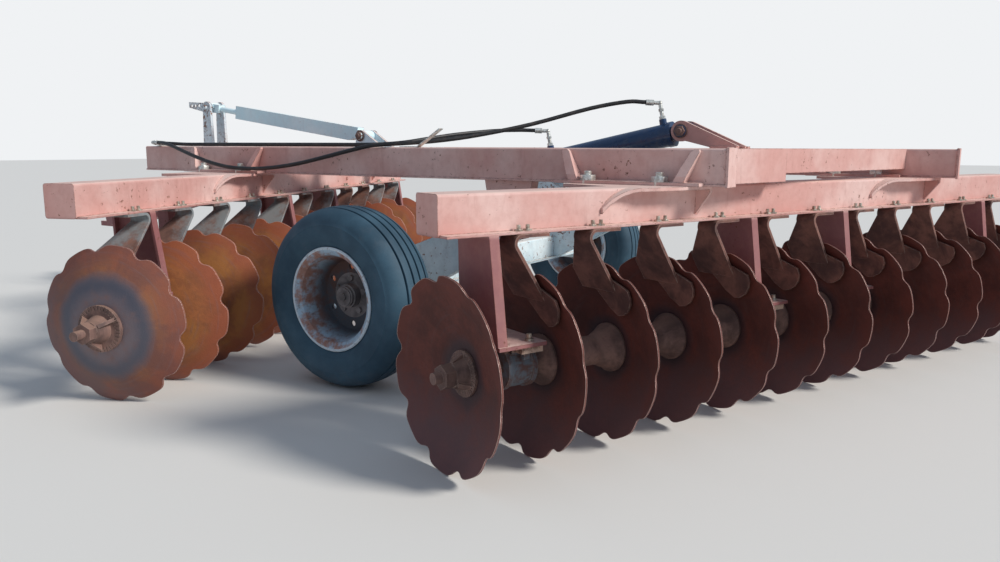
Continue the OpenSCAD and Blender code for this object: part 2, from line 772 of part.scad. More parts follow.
// tyre, axis along X, from x = 0 to x = tyre_wide, with ribs round its tread
module tyre() {
  w = tyre_wide;
  groove_deep = 16;
  groove_wide = 11;
  rotate([0, 90, 0]) rotate_extrude($fn = 72) difference() {
    polygon([
      [rim_r - 18, 40], [rim_r - 18, w - 40], [rim_r - 12, w - 30], [rim_r + 14.3, w - 26],
      [rim_r + 22, w - 18], [rim_r + 60, w - 4], [rim_r + 100, w], [tyre_r - 66, w - 6],
      [tyre_r - 34, w - 18],
      [tyre_r - 12, w - 44], [tyre_r - 3, w - 76], [tyre_r, w / 2], [tyre_r - 3, 76], [tyre_r - 12, 44],
      [tyre_r - 34, 18], [tyre_r - 66, 6], [rim_r + 100, 0], [rim_r + 60, 4], [rim_r + 22, 18],
      [rim_r + 14.3, 26], [rim_r - 12, 30]
    ]);
    for (t = tread_grooves)
      translate([tyre_r - groove_deep, t * w - groove_wide / 2]) square([60, groove_wide]);
  }
}

// rim with a drop centre and a dished disc set far in
module rim() {
  w = tyre_wide;
  deep = w / 2 + 22;
  rotate([0, 90, 0]) difference() {
    rotate_extrude()
      polygon([
        [rim_r + 14, 18], [rim_r + 12, 26], [rim_r - 14, 30], [rim_r - 18.3, 40], [rim_r - 18.3, w - 40],
        [rim_r - 14, w - 30], [rim_r + 12, w - 26], [rim_r + 14, w - 18], [rim_r + 8, w - 14],
        [rim_r - 8, w - 20], [rim_r - 26, w - 38], [rim_r - 44, deep + 34], [rim_r - 60, deep + 12],
        [110, deep + 12], [110, deep], [rim_r - 66, deep], [rim_r - 58, deep - 16], [rim_r - 26, 38],
        [rim_r - 8, 20], [rim_r + 8, 14]
      ]);
    for (a = [0 : 60 : 300]) rotate(a) translate([141, 0, deep - 20]) cylinder(r = 15, h = 60);
  }
}

// hub with its cap, flange, and nuts; the spindle's seat is bored through from behind
module hub() {
  w = tyre_wide;
  deep = w / 2 + 22;
  cap_x = 104;
  difference() {
    union() {
      rod_x(50, cap_x + 8, w - 20);
      rod_x(58, cap_x + 22, w - 50);
      rod_x(44, cap_x, cap_x + 10);
      rod_x(19, cap_x - 10, cap_x + 10);
      rod_x(109.7, deep, deep + 14);
      rod_x(118, deep + 12.3, deep + 28);
    }
    rod_x(28.3, cap_x + 30, w + 10);
  }
  for (a = [0 : 72 : 288]) rotate([a, 0, 0]) translate([deep - 14, 0, 84]) rotate([0, 90, 0]) {
    cylinder(r = 15, h = 15, $fn = 6);
    cylinder(r = 8, h = 30);
  }
}

module tyre_left() color(rubber_black) put() translate([tyre_left_x, wheel_y, wheel_z]) tyre();
module rim_left() color(cast_rust) put() translate([tyre_left_x, wheel_y, wheel_z]) rim();
module hub_left() color(cast_rust) put() translate([tyre_left_x, wheel_y, wheel_z]) hub();
module right_wheel() {
  put() translate([tyre_right_x + tyre_wide, wheel_y, wheel_z]) mirror([1, 0, 0]) children();
}
module tyre_right() color(rubber_black) right_wheel() tyre();
module rim_right() color(cast_rust) right_wheel() rim();
module hub_right() color(cast_rust) right_wheel() hub();

// cylinder's own frame: base pin at the origin, rod towards +Y
cyl_drop = atan2(cyl_pin_z - crank_z, crank_y - cyl_pin_y);
cyl_long = sqrt(pow(cyl_pin_z - crank_z, 2) + pow(crank_y - cyl_pin_y, 2));
module cylinder_frame() {
  put() translate([centre_x, cyl_pin_y, cyl_pin_z]) rotate([-cyl_drop, 0, 0]) children();
}

module rod_y(r, y0, y1) {
  translate([0, y0, 0]) rotate([-90, 0, 0]) cylinder(r = r, h = y1 - y0);
}

// where the gland nut starts and ends, and where the two ports stand
gland_y0 = cyl_long - 276;
gland_y1 = cyl_long - 212;
port_rear_y = 112;
port_front_y = gland_y0 + 30;
port_r = 19;
port_high = 26;

// barrel with cap, gland and port bosses; its base pin goes through both lugs
module cylinder_barrel() color(navy) cylinder_frame() {
  eye_r = 44;
  eye_wide = 88;
  difference() {
    union() {
      rod_y(barrel_r, 66, gland_y1 - 10);
      rod_y(barrel_r + 4, 62, 92);
      rod_y(barrel_r + 7, gland_y0, gland_y1);
      rod_x(eye_r, -eye_wide / 2, eye_wide / 2);
      block([-eye_wide / 2, 0, -34], [eye_wide / 2, 64, 34]);
      translate([0, port_rear_y, 0]) cylinder(r = port_r, h = barrel_r + port_high);
      translate([0, port_front_y, 0]) cylinder(r = port_r, h = barrel_r + port_high);
    }
    rod_x(20.3, -eye_wide, eye_wide);
    rod_y(26, 150, cyl_long);
  }
  rod_x(20, -92, 92);
  for (side = [-1, 1]) translate([side * 84 - 5, 0, 0]) rod_x(30, 0, 10);
}

// hose fittings screwed on the bosses: nut, stem, elbow, and the sleeve that the hose enters
elbow_high = 172;
elbow_turn = 33.5;
elbow_lean = 78;
sleeve_from = 34;
hose_seat = 50;
sleeve_to = 74;
module cylinder_ports() color(zinc) cylinder_frame() {
  for (y = [port_rear_y, port_front_y])
    translate([0, y, 0]) difference() {
      union() {
        translate([0, 0, barrel_r + port_high]) {
          cylinder(r = 16, h = 16, $fn = 6);
          cylinder(r = 10, h = elbow_high - barrel_r - port_high);
          translate([0, 0, 42]) cylinder(r = 14, h = 12, $fn = 6);
        }
        translate([0, 0, elbow_high]) sphere(r = 12, $fn = 20);
        elbow_way() cylinder(r = 10, h = sleeve_from + 4);
        elbow_way() translate([0, 0, sleeve_from]) cylinder(r = 15, h = sleeve_to - sleeve_from);
      }
      elbow_way() translate([0, 0, hose_seat]) cylinder(r = hose_r + 1.5, h = sleeve_to);
    }
}
module elbow_way() {
  translate([0, 0, elbow_high]) rotate([0, 0, elbow_turn]) rotate([-elbow_lean, 0, 0]) children();
}

module cylinder_rod() color(zinc) cylinder_frame() {
  difference() {
    union() {
      rod_y(25.5, 300, cyl_long - 30);
      rod_y(32, cyl_long - 60, cyl_long - 20);
      translate([0, cyl_long, 0]) rod_x(40, -36, 36);
    }
    translate([0, cyl_long, 0]) rod_x(20.3, -60, 60);
  }
  translate([0, cyl_long, 0]) rod_x(20, -37, 37);
}

draw_slope = atan2(draw_hinge_z - hitch_z, hitch_y - draw_hinge_y);
deck_high = 40;

// top of the drawbar's cross plate at a place along the harrow
function deck_z(y) = draw_hinge_z - (y - draw_hinge_y) * tan(draw_slope) + deck_high / cos(draw_slope);

// drawbar: two bars from the hinge to the level hitch tongue
module drawbar() color(frame_red) put() {
  difference() {
    union() {
      translate([0, draw_hinge_y, draw_hinge_z]) rod_x(38, centre_x - 300, centre_x + 280);
      translate([centre_x, draw_hinge_y, draw_hinge_z]) rotate([-draw_slope, 0, 0]) {
        for (side = [-1, 1]) translate([side * 140 - 40, 0, -50]) cube([80, 1600, 100]);
        translate([-181, 1480, -50]) cube([362, 120, 100]);
        translate([-181, 280, -50]) cube([362, 140, 50 + deck_high]);
      }
      block([centre_x - 60, hitch_y - 240, hitch_z - 20], [centre_x + 60, hitch_y + 70, hitch_z + 20]);
    }
    translate([0, draw_hinge_y, draw_hinge_z]) rod_x(20.3, centre_x - 400, centre_x + 400);
    translate([centre_x, hitch_y, hitch_z - 100]) cylinder(r = hitch_hole_r, h = 200);
  }
}

// mast plates with round heads, a spacer, and a perforated hose plate on the left one
module drawbar_mast() color(pale_blue) put() {
  plate = 20;
  for (x = [centre_x - 50 - plate, centre_x + 50])
    difference() {
      union() {
        plate_x(x, x + plate, [
          [mast_pin_y - 62, deck_z(mast_pin_y - 62)], [mast_pin_y + 62, deck_z(mast_pin_y + 62)],
          [mast_pin_y + 40, mast_pin_z - 8], [mast_pin_y - 40, mast_pin_z - 8]
        ]);
        translate([0, mast_pin_y, mast_pin_z]) rod_x(44, x, x + plate);
      }
      translate([0, mast_pin_y, mast_pin_z]) rod_x(16.3, x - 1, x + plate + 1);
    }
  block([centre_x - 50, mast_pin_y - 20, mast_pin_z - 300],
    [centre_x + 50, mast_pin_y + 20, mast_pin_z - 270]);
  difference() {
    plate_x(centre_x - 76, centre_x - 70, [
      [mast_pin_y + 30, mast_pin_z - 30], [mast_pin_y + 190, mast_pin_z + 4],
      [mast_pin_y + 190, mast_pin_z + 44],
      [mast_pin_y + 10, mast_pin_z + 34]
    ]);
    for (y = [74, 116, 158]) translate([centre_x - 80, mast_pin_y + y, mast_pin_z + 16]) rod_x(11, 0, 20);
  }
  for (x = [centre_x - 92, centre_x + 50]) translate([x, mast_pin_y, mast_pin_z]) rod_x(16, 0, 42);
}

// cross member with the two lugs of the stay's eye
module stay_lugs() color(frame_red) put() {
  plate = 20;
  block([beam_left_x + main_wide, stay_eye_y - 50, main_base + 40],
        [beam_right_x, stay_eye_y + 50, main_top]);
  for (x = [centre_x - 42 - plate, centre_x + 42])
    difference() {
      union() {
        plate_x(x, x + plate, [
          [stay_eye_y - 190, main_top - 6], [stay_eye_y - 50, main_top - 6], [stay_eye_y + 50, main_top],
          [stay_eye_y + 36, stay_eye_z], [stay_eye_y - 16, stay_eye_z + 32]
        ]);
        translate([0, stay_eye_y, stay_eye_z]) rod_x(36, x, x + plate);
      }
      translate([0, stay_eye_y, stay_eye_z]) rod_x(16.3, x - 1, x + plate + 1);
      block([x - 1, stay_eye_y - 200, main_top - 40], [x + plate + 1, stay_eye_y - 50, main_top]);
    }
}

stay_rise = atan2(mast_pin_z - stay_eye_z, mast_pin_y - stay_eye_y);
stay_long = sqrt(pow(mast_pin_z - stay_eye_z, 2) + pow(mast_pin_y - stay_eye_y, 2));
module stay_frame() {
  put() translate([centre_x, stay_eye_y, stay_eye_z]) rotate([stay_rise, 0, 0]) children();
}

// square tube with its lower end cut slanting, neck and eye
module stay_tube() color(pale_blue) stay_frame() {
  wide = 60;
  high = 92;
  difference() {
    union() {
      plate_x(-wide / 2, wide / 2, [
        [60, -20], [130, -high / 2], [stay_long - 280, -high / 2], [stay_long - 280, high / 2],
        [60, high / 2]
      ]);
      rod_x(34, -38, 38);
      block([-wide / 2, 0, -26], [wide / 2, 80, 30]);
    }
    rod_x(16.3, -42, 42);
    rod_y(20.5, 400, stay_long);
  }
  rod_x(16, -84, 84);
  for (side = [-1, 1]) translate([side * 74 - 5, 0, 0]) rod_x(24, 0, 10);
}

module stay_rod() color(zinc) stay_frame() {
  difference() {
    union() {
      rod_y(20, 900, stay_long - 20);
      block([-30, stay_long - 90, -30], [30, stay_long, 30]);
      translate([0, stay_long, 0]) rod_x(36, -38, 38);
    }
    translate([0, stay_long, 0]) rod_x(16.3, -60, 60);
  }
  translate([0, stay_long, 0]) rod_x(16, -39, 39);
}

// hoses: middle line points, radius 11
hose_feed_route = [
  [1740, 123, 1376], [1706, 176, 1377], [1600, 335, 1342], [1400, 575, 1258],
  [1200, 775, 1201], [1060, 905, 1174], [975, 1020, 1162], [918, 1150, 1154], [901, 1230, 1147],
  [889, 1320, 1130], [868, 1520, 1087], [845, 1690, 1052], [833, 1840, 1031], [829, 1980, 1020],
  [829, 2110, 1018],
  [829, 2240, 1024], [831, 2390, 1045], [840, 2550, 1080], [858, 2700, 1116], [884, 2840, 1146],
  [915, 2960, 1160], [948, 3070, 1162]
];
hose_return_route = [
  [1740, 788, 1236], [1706, 838, 1237], [1600, 944, 1231], [1400, 1050, 1209],
  [1220, 1110, 1184], [1110, 1175, 1165], [1040, 1270, 1155], [1002, 1400, 1152], [985, 1560, 1152],
  [978, 1740, 1152], [978, 1920, 1152], [978, 2100, 1152], [978, 2280, 1152], [978, 2460, 1152],
  [980, 2640, 1152], [984, 2820, 1152], [988, 2960, 1156], [990, 3080, 1160]
];
hose_r = 11;
hose_sides = 8;

function unit(v) = v / norm(v);
function along(path, i) = unit(path[min(i + 1, len(path) - 1)] - path[max(i - 1, 0)]);
function ring(path, i) =
  let (t = along(path, i), s = unit(cross(t, [0, 0, 1])), u = cross(s, t))
  [for (j = [0 : hose_sides - 1])
    path[i] + hose_r * (cos(j * 360 / hose_sides) * s + sin(j * 360 / hose_sides) * u)];

module tube(path) {
  n = len(path);
  m = hose_sides;
  points = [for (i = [0 : n - 1]) each ring(path, i)];
  sides = [for (i = [0 : n - 2], j = [0 : m - 1])
    [i * m + j, i * m + (j + 1) % m, (i + 1) * m + (j + 1) % m, (i + 1) * m + j]];
  caps = [[for (j = [0 : m - 1]) m - 1 - j], [for (j = [0 : m - 1]) (n - 1) * m + j]];
  polyhedron(points, concat(sides, caps));
}

module hose_feed() color(rubber_black) put() tube(hose_feed_route);
module hose_return() color(rubber_black) put() tube(hose_return_route);

// flat strap that rises from the left beam's top beside the hoses, and the clamp at the beam's front end
strap_y = 950;
strap_foot = 110;
strap_reach = 140;
strap_rise = 88;
strap_thick = 5;
clamp_y = 3000;
module hose_clips() color(zinc) put() {
  plate_x(928, 960, [
    [strap_y + strap_foot, main_top], [strap_y, main_top], [strap_y - strap_reach, main_top + strap_rise],
    [strap_y - strap_reach + 3, main_top + strap_rise + 4], [strap_y + 1.5, main_top + strap_thick],
    [strap_y + strap_foot, main_top + strap_thick]
  ]);
  translate([955, clamp_y, main_top]) {
    block([-44, -18, 0], [60, 18, strap_thick]);
    translate([2, 0, strap_thick - 1]) cylinder(r = 9, h = 11, $fn = 6);
  }
}

module discs_rear() color(disc_rust) rear_gang() gang_discs(rear_turn);
module spools_rear() color(cast_rust) rear_gang() gang_spools();
module gang_shaft_rear() color(cast_rust) rear_gang() gang_shaft_parts();
module discs_front() color(disc_rust) front_gang() turned() gang_discs(front_turn);
module spools_front() color(cast_rust) front_gang() turned() gang_spools();
module gang_shaft_front() color(cast_rust) front_gang() turned() gang_shaft_parts();

main_beam_left();
main_beam_right();
cross_member_rear();
cross_member_mid();
cross_member_front();
gang_beam_rear();
gang_beam_front();
gang_clamps();
clamp_bolts();
standards_rear();
standards_front();
bearings_rear();
bearings_front();
bearing_bolts();
scrapers_rear();
scrapers_front();
scraper_bolts();
cylinder_lugs();
axle_hangers();
stay_lugs();
hose_clips();
hose_feed();
hose_return();
discs_rear();
spools_rear();
gang_shaft_rear();
discs_front();
spools_front();
gang_shaft_front();
wheel_frame();
crank_plates();
tyre_left();
rim_left();
hub_left();
tyre_right();
rim_right();
hub_right();
cylinder_barrel();
cylinder_ports();
cylinder_rod();
drawbar();
drawbar_mast();
stay_tube();
stay_rod();
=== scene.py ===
"""Disc harrow: two gangs of lobed discs under a welded frame, with wheels, cylinder and drawbar.

Metres, +X to the harrow's right, +Y the way it is towed, +Z up, ground at z = 0. The CAD nodes give
every rigid form and stay as they are; this script gives them their finishes and adds tyres, bolts
and nuts, weld beads, and the hoses with their couplers.
"""
import logging
import math
from dataclasses import dataclass
from enum import Enum
from typing import Callable, Iterable, Optional, Sequence

import bpy
from mathutils import Matrix, Vector


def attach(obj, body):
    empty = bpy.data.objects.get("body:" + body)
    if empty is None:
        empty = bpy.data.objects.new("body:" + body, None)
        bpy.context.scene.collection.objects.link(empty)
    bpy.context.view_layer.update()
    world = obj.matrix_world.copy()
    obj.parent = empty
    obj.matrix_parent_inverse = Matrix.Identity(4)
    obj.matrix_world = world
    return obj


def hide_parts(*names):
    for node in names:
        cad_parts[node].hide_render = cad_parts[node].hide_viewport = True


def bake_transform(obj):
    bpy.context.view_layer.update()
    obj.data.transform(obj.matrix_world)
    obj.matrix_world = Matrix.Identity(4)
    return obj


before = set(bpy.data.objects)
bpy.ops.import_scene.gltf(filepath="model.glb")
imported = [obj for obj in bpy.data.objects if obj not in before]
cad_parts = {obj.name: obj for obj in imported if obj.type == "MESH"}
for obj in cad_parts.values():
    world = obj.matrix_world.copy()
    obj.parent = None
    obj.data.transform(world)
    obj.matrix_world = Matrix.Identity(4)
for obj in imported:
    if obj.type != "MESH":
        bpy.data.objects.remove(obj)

LOG = logging.getLogger("harrow")

Point = tuple[float, float, float]
Colour = tuple[float, float, float, float]
Socket = bpy.types.NodeSocket
Value = float | Socket
Tint = Colour | Socket
Piece = bpy.types.Object
Material = bpy.types.Material

# where the drawing frame of the harrow starts, seen from the object frame
ORIGIN = Vector((1.583, 1.663, 0.0))


def place(x: float, y: float, z: float) -> Vector:
    """Turns millimetres of the drawing frame into metres of the object frame.

    Args:
        x: sideways place.
        y: forward place.
        z: height.

    Returns:
        The point in the object frame.
    """
    return Vector((x, y, z)) / 1000.0 - ORIGIN


def srgb(red: int, green: int, blue: int) -> Colour:
    """Turns a screen colour into the linear colour that a shader takes.

    Args:
        red: 0 to 255.
        green: 0 to 255.
        blue: 0 to 255.

    Returns:
        Linear red, green, blue and alpha.
    """
    def linear(level: int) -> float:
        """Turns one channel's 0 to 255 into linear light."""
        c = level / 255.0
        return c / 12.92 if c <= 0.04045 else ((c + 0.055) / 1.055) ** 2.4

    return (linear(red), linear(green), linear(blue), 1.0)


@dataclass(frozen=True)
class GangLine:
    """One gang's shaft line: where its left hub stands and which way it runs.

    Attributes:
        start: left hub on the shaft line, in the object frame.
        turn: turn about Z from +X to the gang's own line, in degrees.
        pitch: distance from disc to disc.
    """

    start: Point
    turn: float
    pitch: float = 0.342

    def matrix(self) -> Matrix:
        """Gives the matrix from the gang's own frame to the object frame."""
        return Matrix.Translation(self.start) @ Matrix.Rotation(math.radians(self.turn), 4, "Z")


REAR = GangLine(start=(-1.583, -1.663, 0.3555), turn=-22.7)
FRONT = GangLine(start=(-1.890, 0.072, 0.3555), turn=20.5)


class Body(Enum):
    """Bodies that the added pieces ride on."""

    FRAME = "frame"
    BARREL = "barrel"
    STAY = "stay_outer"
    WHEEL_LEFT = "wheel_left"
    WHEEL_RIGHT = "wheel_right"


class Slot(Enum):
    """The record's material slots of the added pieces."""

    PAINT = "frame_paint"
    ZINC = "zinc_bolts"
    CAST = "cast_parts"
    TYRE = "tyre_rubber"
    HOSE = "hose_rubber"


# --------------------------------------------------------------------------- materials


@dataclass(frozen=True)
class Patches:
    """Noise cut to soft patches.

    Attributes:
        scale: patches per metre, roughly.
        detail: octaves.
        rough: weight of the finer octaves.
        low: grey value where a patch begins.
        high: grey value where it is full.
        most: result inside the patches.
        least: result between them.
        twist: distortion.
    """

    scale: float
    detail: float
    rough: float
    low: float
    high: float
    most: float = 1.0
    least: float = 0.0
    twist: float = 0.0


# numbers of a Mix node's colour sockets, whose names it shares with others
MIX_UNDER, MIX_OVER, MIX_RESULT = 6, 7, 2


class Graph:
    """Builds the node tree of one material."""

    def __init__(self, name: str) -> None:
        """Starts a material with one Principled shader.

        Args:
            name: the material's name.
        """
        self.material = bpy.data.materials.new(name)
        self.material.use_nodes = True
        self.tree = self.material.node_tree
        self.tree.nodes.clear()
        out = self.tree.nodes.new("ShaderNodeOutputMaterial")
        self.shader = self.tree.nodes.new("ShaderNodeBsdfPrincipled")
        self.tree.links.new(self.shader.outputs[0], out.inputs[0])
        self.coords = self._node("ShaderNodeTexCoord").outputs["Object"]

    def _node(self, kind: str, feeds: Optional[dict] = None,
              **settings: object) -> bpy.types.Node:
        """Adds a node, sets its properties and feeds its sockets.

        Args:
            kind: type of the node.
            feeds: value or link for each socket's name or number.
            settings: properties of the node.

        Returns:
            The node.
        """
        node = self.tree.nodes.new(kind)
        for key, value in settings.items():
            setattr(node, key, value)
        for key, value in (feeds or {}).items():
            self._feed(node.inputs[key], value)
        return node

    def _feed(self, socket: Socket, value: object) -> None:
        """Links a socket to a value, or sets it.

        Args:
            socket: the socket.
            value: another node's output, or a constant.
        """
        if isinstance(value, Socket):
            self.tree.links.new(value, socket)
        else:
            socket.default_value = value

    def gang(self, line: GangLine) -> Socket:
        """Gives coordinates in a gang's own frame, X along its shaft.

        Args:
            line: the gang's shaft line.

        Returns:
            The coordinates.
        """
        away = self._node("ShaderNodeVectorMath", {0: self.coords, 1: line.start},
                          operation="SUBTRACT")
        turn = self._node("ShaderNodeVectorRotate",
                          {"Vector": away.outputs[0], "Angle": -math.radians(line.turn)},
                          rotation_type="Z_AXIS")
        return turn.outputs[0]

    def split(self, vector: Socket) -> tuple[Socket, ...]:
        """Splits a vector into its three parts."""
        return tuple(self._node("ShaderNodeSeparateXYZ", {0: vector}).outputs)

    def join(self, x: Value, y: Value, z: Value) -> Socket:
        """Makes a vector of three parts."""
        return self._node("ShaderNodeCombineXYZ", {0: x, 1: y, 2: z}).outputs[0]

    def stretch(self, vector: Socket, scale: Point) -> Socket:
        """Scales a vector's three parts."""
        return self._node("ShaderNodeVectorMath", {0: vector, 1: scale},
                          operation="MULTIPLY").outputs[0]

    def chance(self, value: Socket) -> Socket:
        """Gives a fixed random value for each different value."""
        return self._node("ShaderNodeTexWhiteNoise", {"W": value},
                          noise_dimensions="1D").outputs["Value"]

    def noise(self, scale: float, detail: float, rough: float,
              vector: Optional[Socket] = None, twist: float = 0.0) -> Socket:
        """Adds a noise pattern and gives its grey value.

        Args:
            scale: patches per metre, roughly.
            detail: octaves.
            rough: weight of the finer octaves.
            vector: coordinates, Object coordinates if left out.
            twist: distortion.

        Returns:
            The grey value, about 0.5 on average.
        """
        node = self._node("ShaderNodeTexNoise", {
            "Vector": vector or self.coords, "Scale": scale, "Detail": detail,
            "Roughness": rough, "Distortion": twist})
        return node.outputs[0]

    def fit(self, value: Socket, low: float, high: float, to_low: float = 0.0,
            to_high: float = 1.0) -> Socket:
        """Maps a range smoothly to another one, held at the ends.

        Args:
            value: what is mapped.
            low: start of its range.
            high: end of its range.
            to_low: result at the start.
            to_high: result at the end.

        Returns:
            The result.
        """
        node = self._node("ShaderNodeMapRange", {
            "Value": value, "From Min": low, "From Max": high, "To Min": to_low,
            "To Max": to_high}, interpolation_type="SMOOTHSTEP")
        return node.outputs[0]

    def patches(self, kind: Patches, vector: Optional[Socket] = None) -> Socket:
        """Adds soft patches of noise.

        Args:
            kind: the patches.
            vector: coordinates, Object coordinates if left out.

        Returns:
            Their result.
        """
        grey = self.noise(kind.scale, kind.detail, kind.rough, vector, kind.twist)
        return self.fit(grey, kind.low, kind.high, kind.least, kind.most)

    def math(self, kind: str, a: Value, b: Value = 0.0) -> Socket:
        """Adds a Math node and gives its result."""
        return self._node("ShaderNodeMath", {0: a, 1: b}, operation=kind).outputs[0]

    def times(self, a: Value, b: Value) -> Socket:
        """Multiplies two values."""
        return self.math("MULTIPLY", a, b)

    def plus(self, a: Value, b: Value) -> Socket:
        """Adds two values."""
        return self.math("ADD", a, b)

    def minus(self, a: Value, b: Value) -> Socket:
        """Takes the second value from the first."""
        return self.math("SUBTRACT", a, b)

    def most(self, a: Value, b: Value) -> Socket:
        """Gives the larger of two values."""
        return self.math("MAXIMUM", a, b)

    def reach(self, a: Socket, b: Socket) -> Socket:
        """Gives the length of two parts at right angles."""
        return self.math("SQRT", self.plus(self.times(a, a), self.times(b, b)))

    def mix(self, share: Value, under: Tint, over: Tint) -> Socket:
        """Mixes two colours.

        Args:
            share: 0 gives under, 1 gives over.
            under: first colour.
            over: second colour.

        Returns:
            The mixed colour.
        """
        node = self._node("ShaderNodeMix", {"Factor": share, MIX_UNDER: under, MIX_OVER: over},
                          data_type="RGBA")
        return node.outputs[MIX_RESULT]

    def up(self) -> Socket:
        """Gives how far a face looks up, 1 for a level top."""
        return self.split(self._node("ShaderNodeNewGeometry").outputs["Normal"])[2]

    def rounded(self, radius: float) -> Socket:
        """Gives the normal as if the edges were rounded to a radius."""
        return self._node("ShaderNodeBevel", {"Radius": radius}, samples=4).outputs[0]

    def edge(self, radius: float, low: float = 0.03, high: float = 0.25) -> Socket:
        """Gives 1 near sharp edges and 0 on open faces.

        Args:
            radius: reach from the edge.
            low: bend at which the mask starts.
            high: bend at which it is full.

        Returns:
            The mask.
        """
        plain = self._node("ShaderNodeNewGeometry").outputs["Normal"]
        dot = self._node("ShaderNodeVectorMath", {0: self.rounded(radius), 1: plain},
                         operation="DOT_PRODUCT")
        return self.fit(self.minus(1.0, dot.outputs["Value"]), low, high)

    def bump(self, height: Socket, depth: float, strength: float,
             soft_edge: float = 0.0) -> None:
        """Sets the shader's normal from a height, on softly rounded edges.

        Args:
            height: grey height.
            depth: metres from black to white.
            strength: share of the effect.
            soft_edge: radius of the rounded edges, 0 for none.
        """
        node = self._node("ShaderNodeBump", {
            "Strength": strength, "Distance": depth, "Height": height})
        if soft_edge:
            self._feed(node.inputs["Normal"], self.rounded(soft_edge))
        self._feed(self.shader.inputs["Normal"], node.outputs[0])

    def finish(self, colour: Tint, rough: Value, metal: Value = 0.0,
               coat: float = 0.0) -> Material:
        """Sets the shader and gives the material.

        Args:
            colour: base colour.
            rough: roughness.
            metal: metallic share.
            coat: clear coat weight.

        Returns:
            The material.
        """
        self._feed(self.shader.inputs["Base Color"], colour)
        self._feed(self.shader.inputs["Roughness"], rough)
        self._feed(self.shader.inputs["Metallic"], metal)
        if coat:
            self.shader.inputs["Coat Weight"].default_value = coat
            self.shader.inputs["Coat Roughness"].default_value = 0.15
        return self.material


@dataclass(frozen=True)
class WornPaint:
    """Sun-bleached paint on steel, chipped at its edges, with rust and dust.

    Attributes:
        name: material name.
        fresh: colour where the paint is still full.
        faded: colour where the sun has bleached it.
        stain: colour of the specks and runs.
        chip: how much of the open faces is lost to chips.
        rust: colour of the rust in chips.
        bright_rust: colour of the fresher rust in them.
        dust: colour of the dust that lies on top faces.
        gloss: roughness of the paint.
        low_paint_and_shade: colour below a height, if there is one: on the frame a darker red,
            partly paint that the sun hasn't bleached and partly painted shade under the gang beams;
            on the lugs a pink like the frame's paint.
        low_paint_below: height under which that colour shows.
        clouds: where the paint is faded.
        specks: fine stains.
        runs: stains that run down.
        run_stretch: how their coordinates are scaled, so that they are long.
        dusting: where dust lies on tops.
        wear: where edges are worn.
        rusting: fresher rust in chips.
    """

    name: str
    fresh: Colour
    faded: Colour
    stain: Colour
    chip: float
    rust: Colour = srgb(96, 58, 42)
    bright_rust: Colour = srgb(132, 84, 58)
    dust: Colour = srgb(206, 172, 158)
    gloss: float = 0.62
    low_paint_and_shade: Optional[Colour] = None
    low_paint_below: float = 0.0
    clouds: Patches = Patches(2.2, 5.0, 0.6, 0.36, 0.66)
    specks: Patches = Patches(26.0, 6.0, 0.7, 0.38, 0.72, 0.26)
    runs: Patches = Patches(9.0, 5.0, 0.65, 0.55, 0.74, 0.35)
    run_stretch: Point = (2.4, 2.4, 0.5)
    dusting: Patches = Patches(7.0, 6.0, 0.7, 0.3, 0.62, 0.9, 0.35)
    wear: Patches = Patches(30.0, 6.0, 0.7, 0.42, 0.55)
    rusting: Patches = Patches(85.0, 4.0, 0.6, 0.35, 0.65)

    def build(self) -> Material:
        """Builds the material.

        Returns:
            The material.
        """
        g = Graph(self.name)
        colour = g.mix(g.patches(self.clouds), self.fresh, self.faded)
        # below a height the paint takes another colour: on the frame a darker red, partly
        # unbleached paint and partly painted shade under the gang beams
        if self.low_paint_and_shade:
            height = g.split(g.coords)[2]
            low = g.fit(height, self.low_paint_below, self.low_paint_below - 0.03, 0.0, 0.85)
            colour = g.mix(low, colour, self.low_paint_and_shade)
        colour = g.mix(g.patches(self.specks), colour, self.stain)
        runs = g.patches(self.runs, g.stretch(g.coords, self.run_stretch))
        colour = g.mix(runs, colour, self.stain)
        top = g.fit(g.up(), 0.45, 0.95)
        colour = g.mix(g.times(top, g.patches(self.dusting)), colour, self.dust)
        # chips in the open faces come in groups, those at edges where the edges are worn
        spots = g.noise(44.0, 8.0, 0.72)
        zones = g.noise(3.1, 3.0, 0.5, twist=0.6)
        level = 0.74 - 0.1 * self.chip
        chips = g.fit(g.plus(spots, g.times(zones, 0.28)), level + 0.06, level + 0.12)
        bare = g.most(chips, g.times(g.edge(0.006), g.patches(self.wear)))
        rusty = g.mix(g.patches(self.rusting), self.rust, self.bright_rust)
        colour = g.mix(bare, colour, rusty)
        rough = g.plus(self.gloss, g.times(g.most(top, bare), 0.25))
        height = g.minus(g.times(g.noise(120.0, 3.0, 0.5), 0.4), bare)
        g.bump(height, 0.0006, 0.8, soft_edge=0.0025)
        return g.finish(colour, rough)


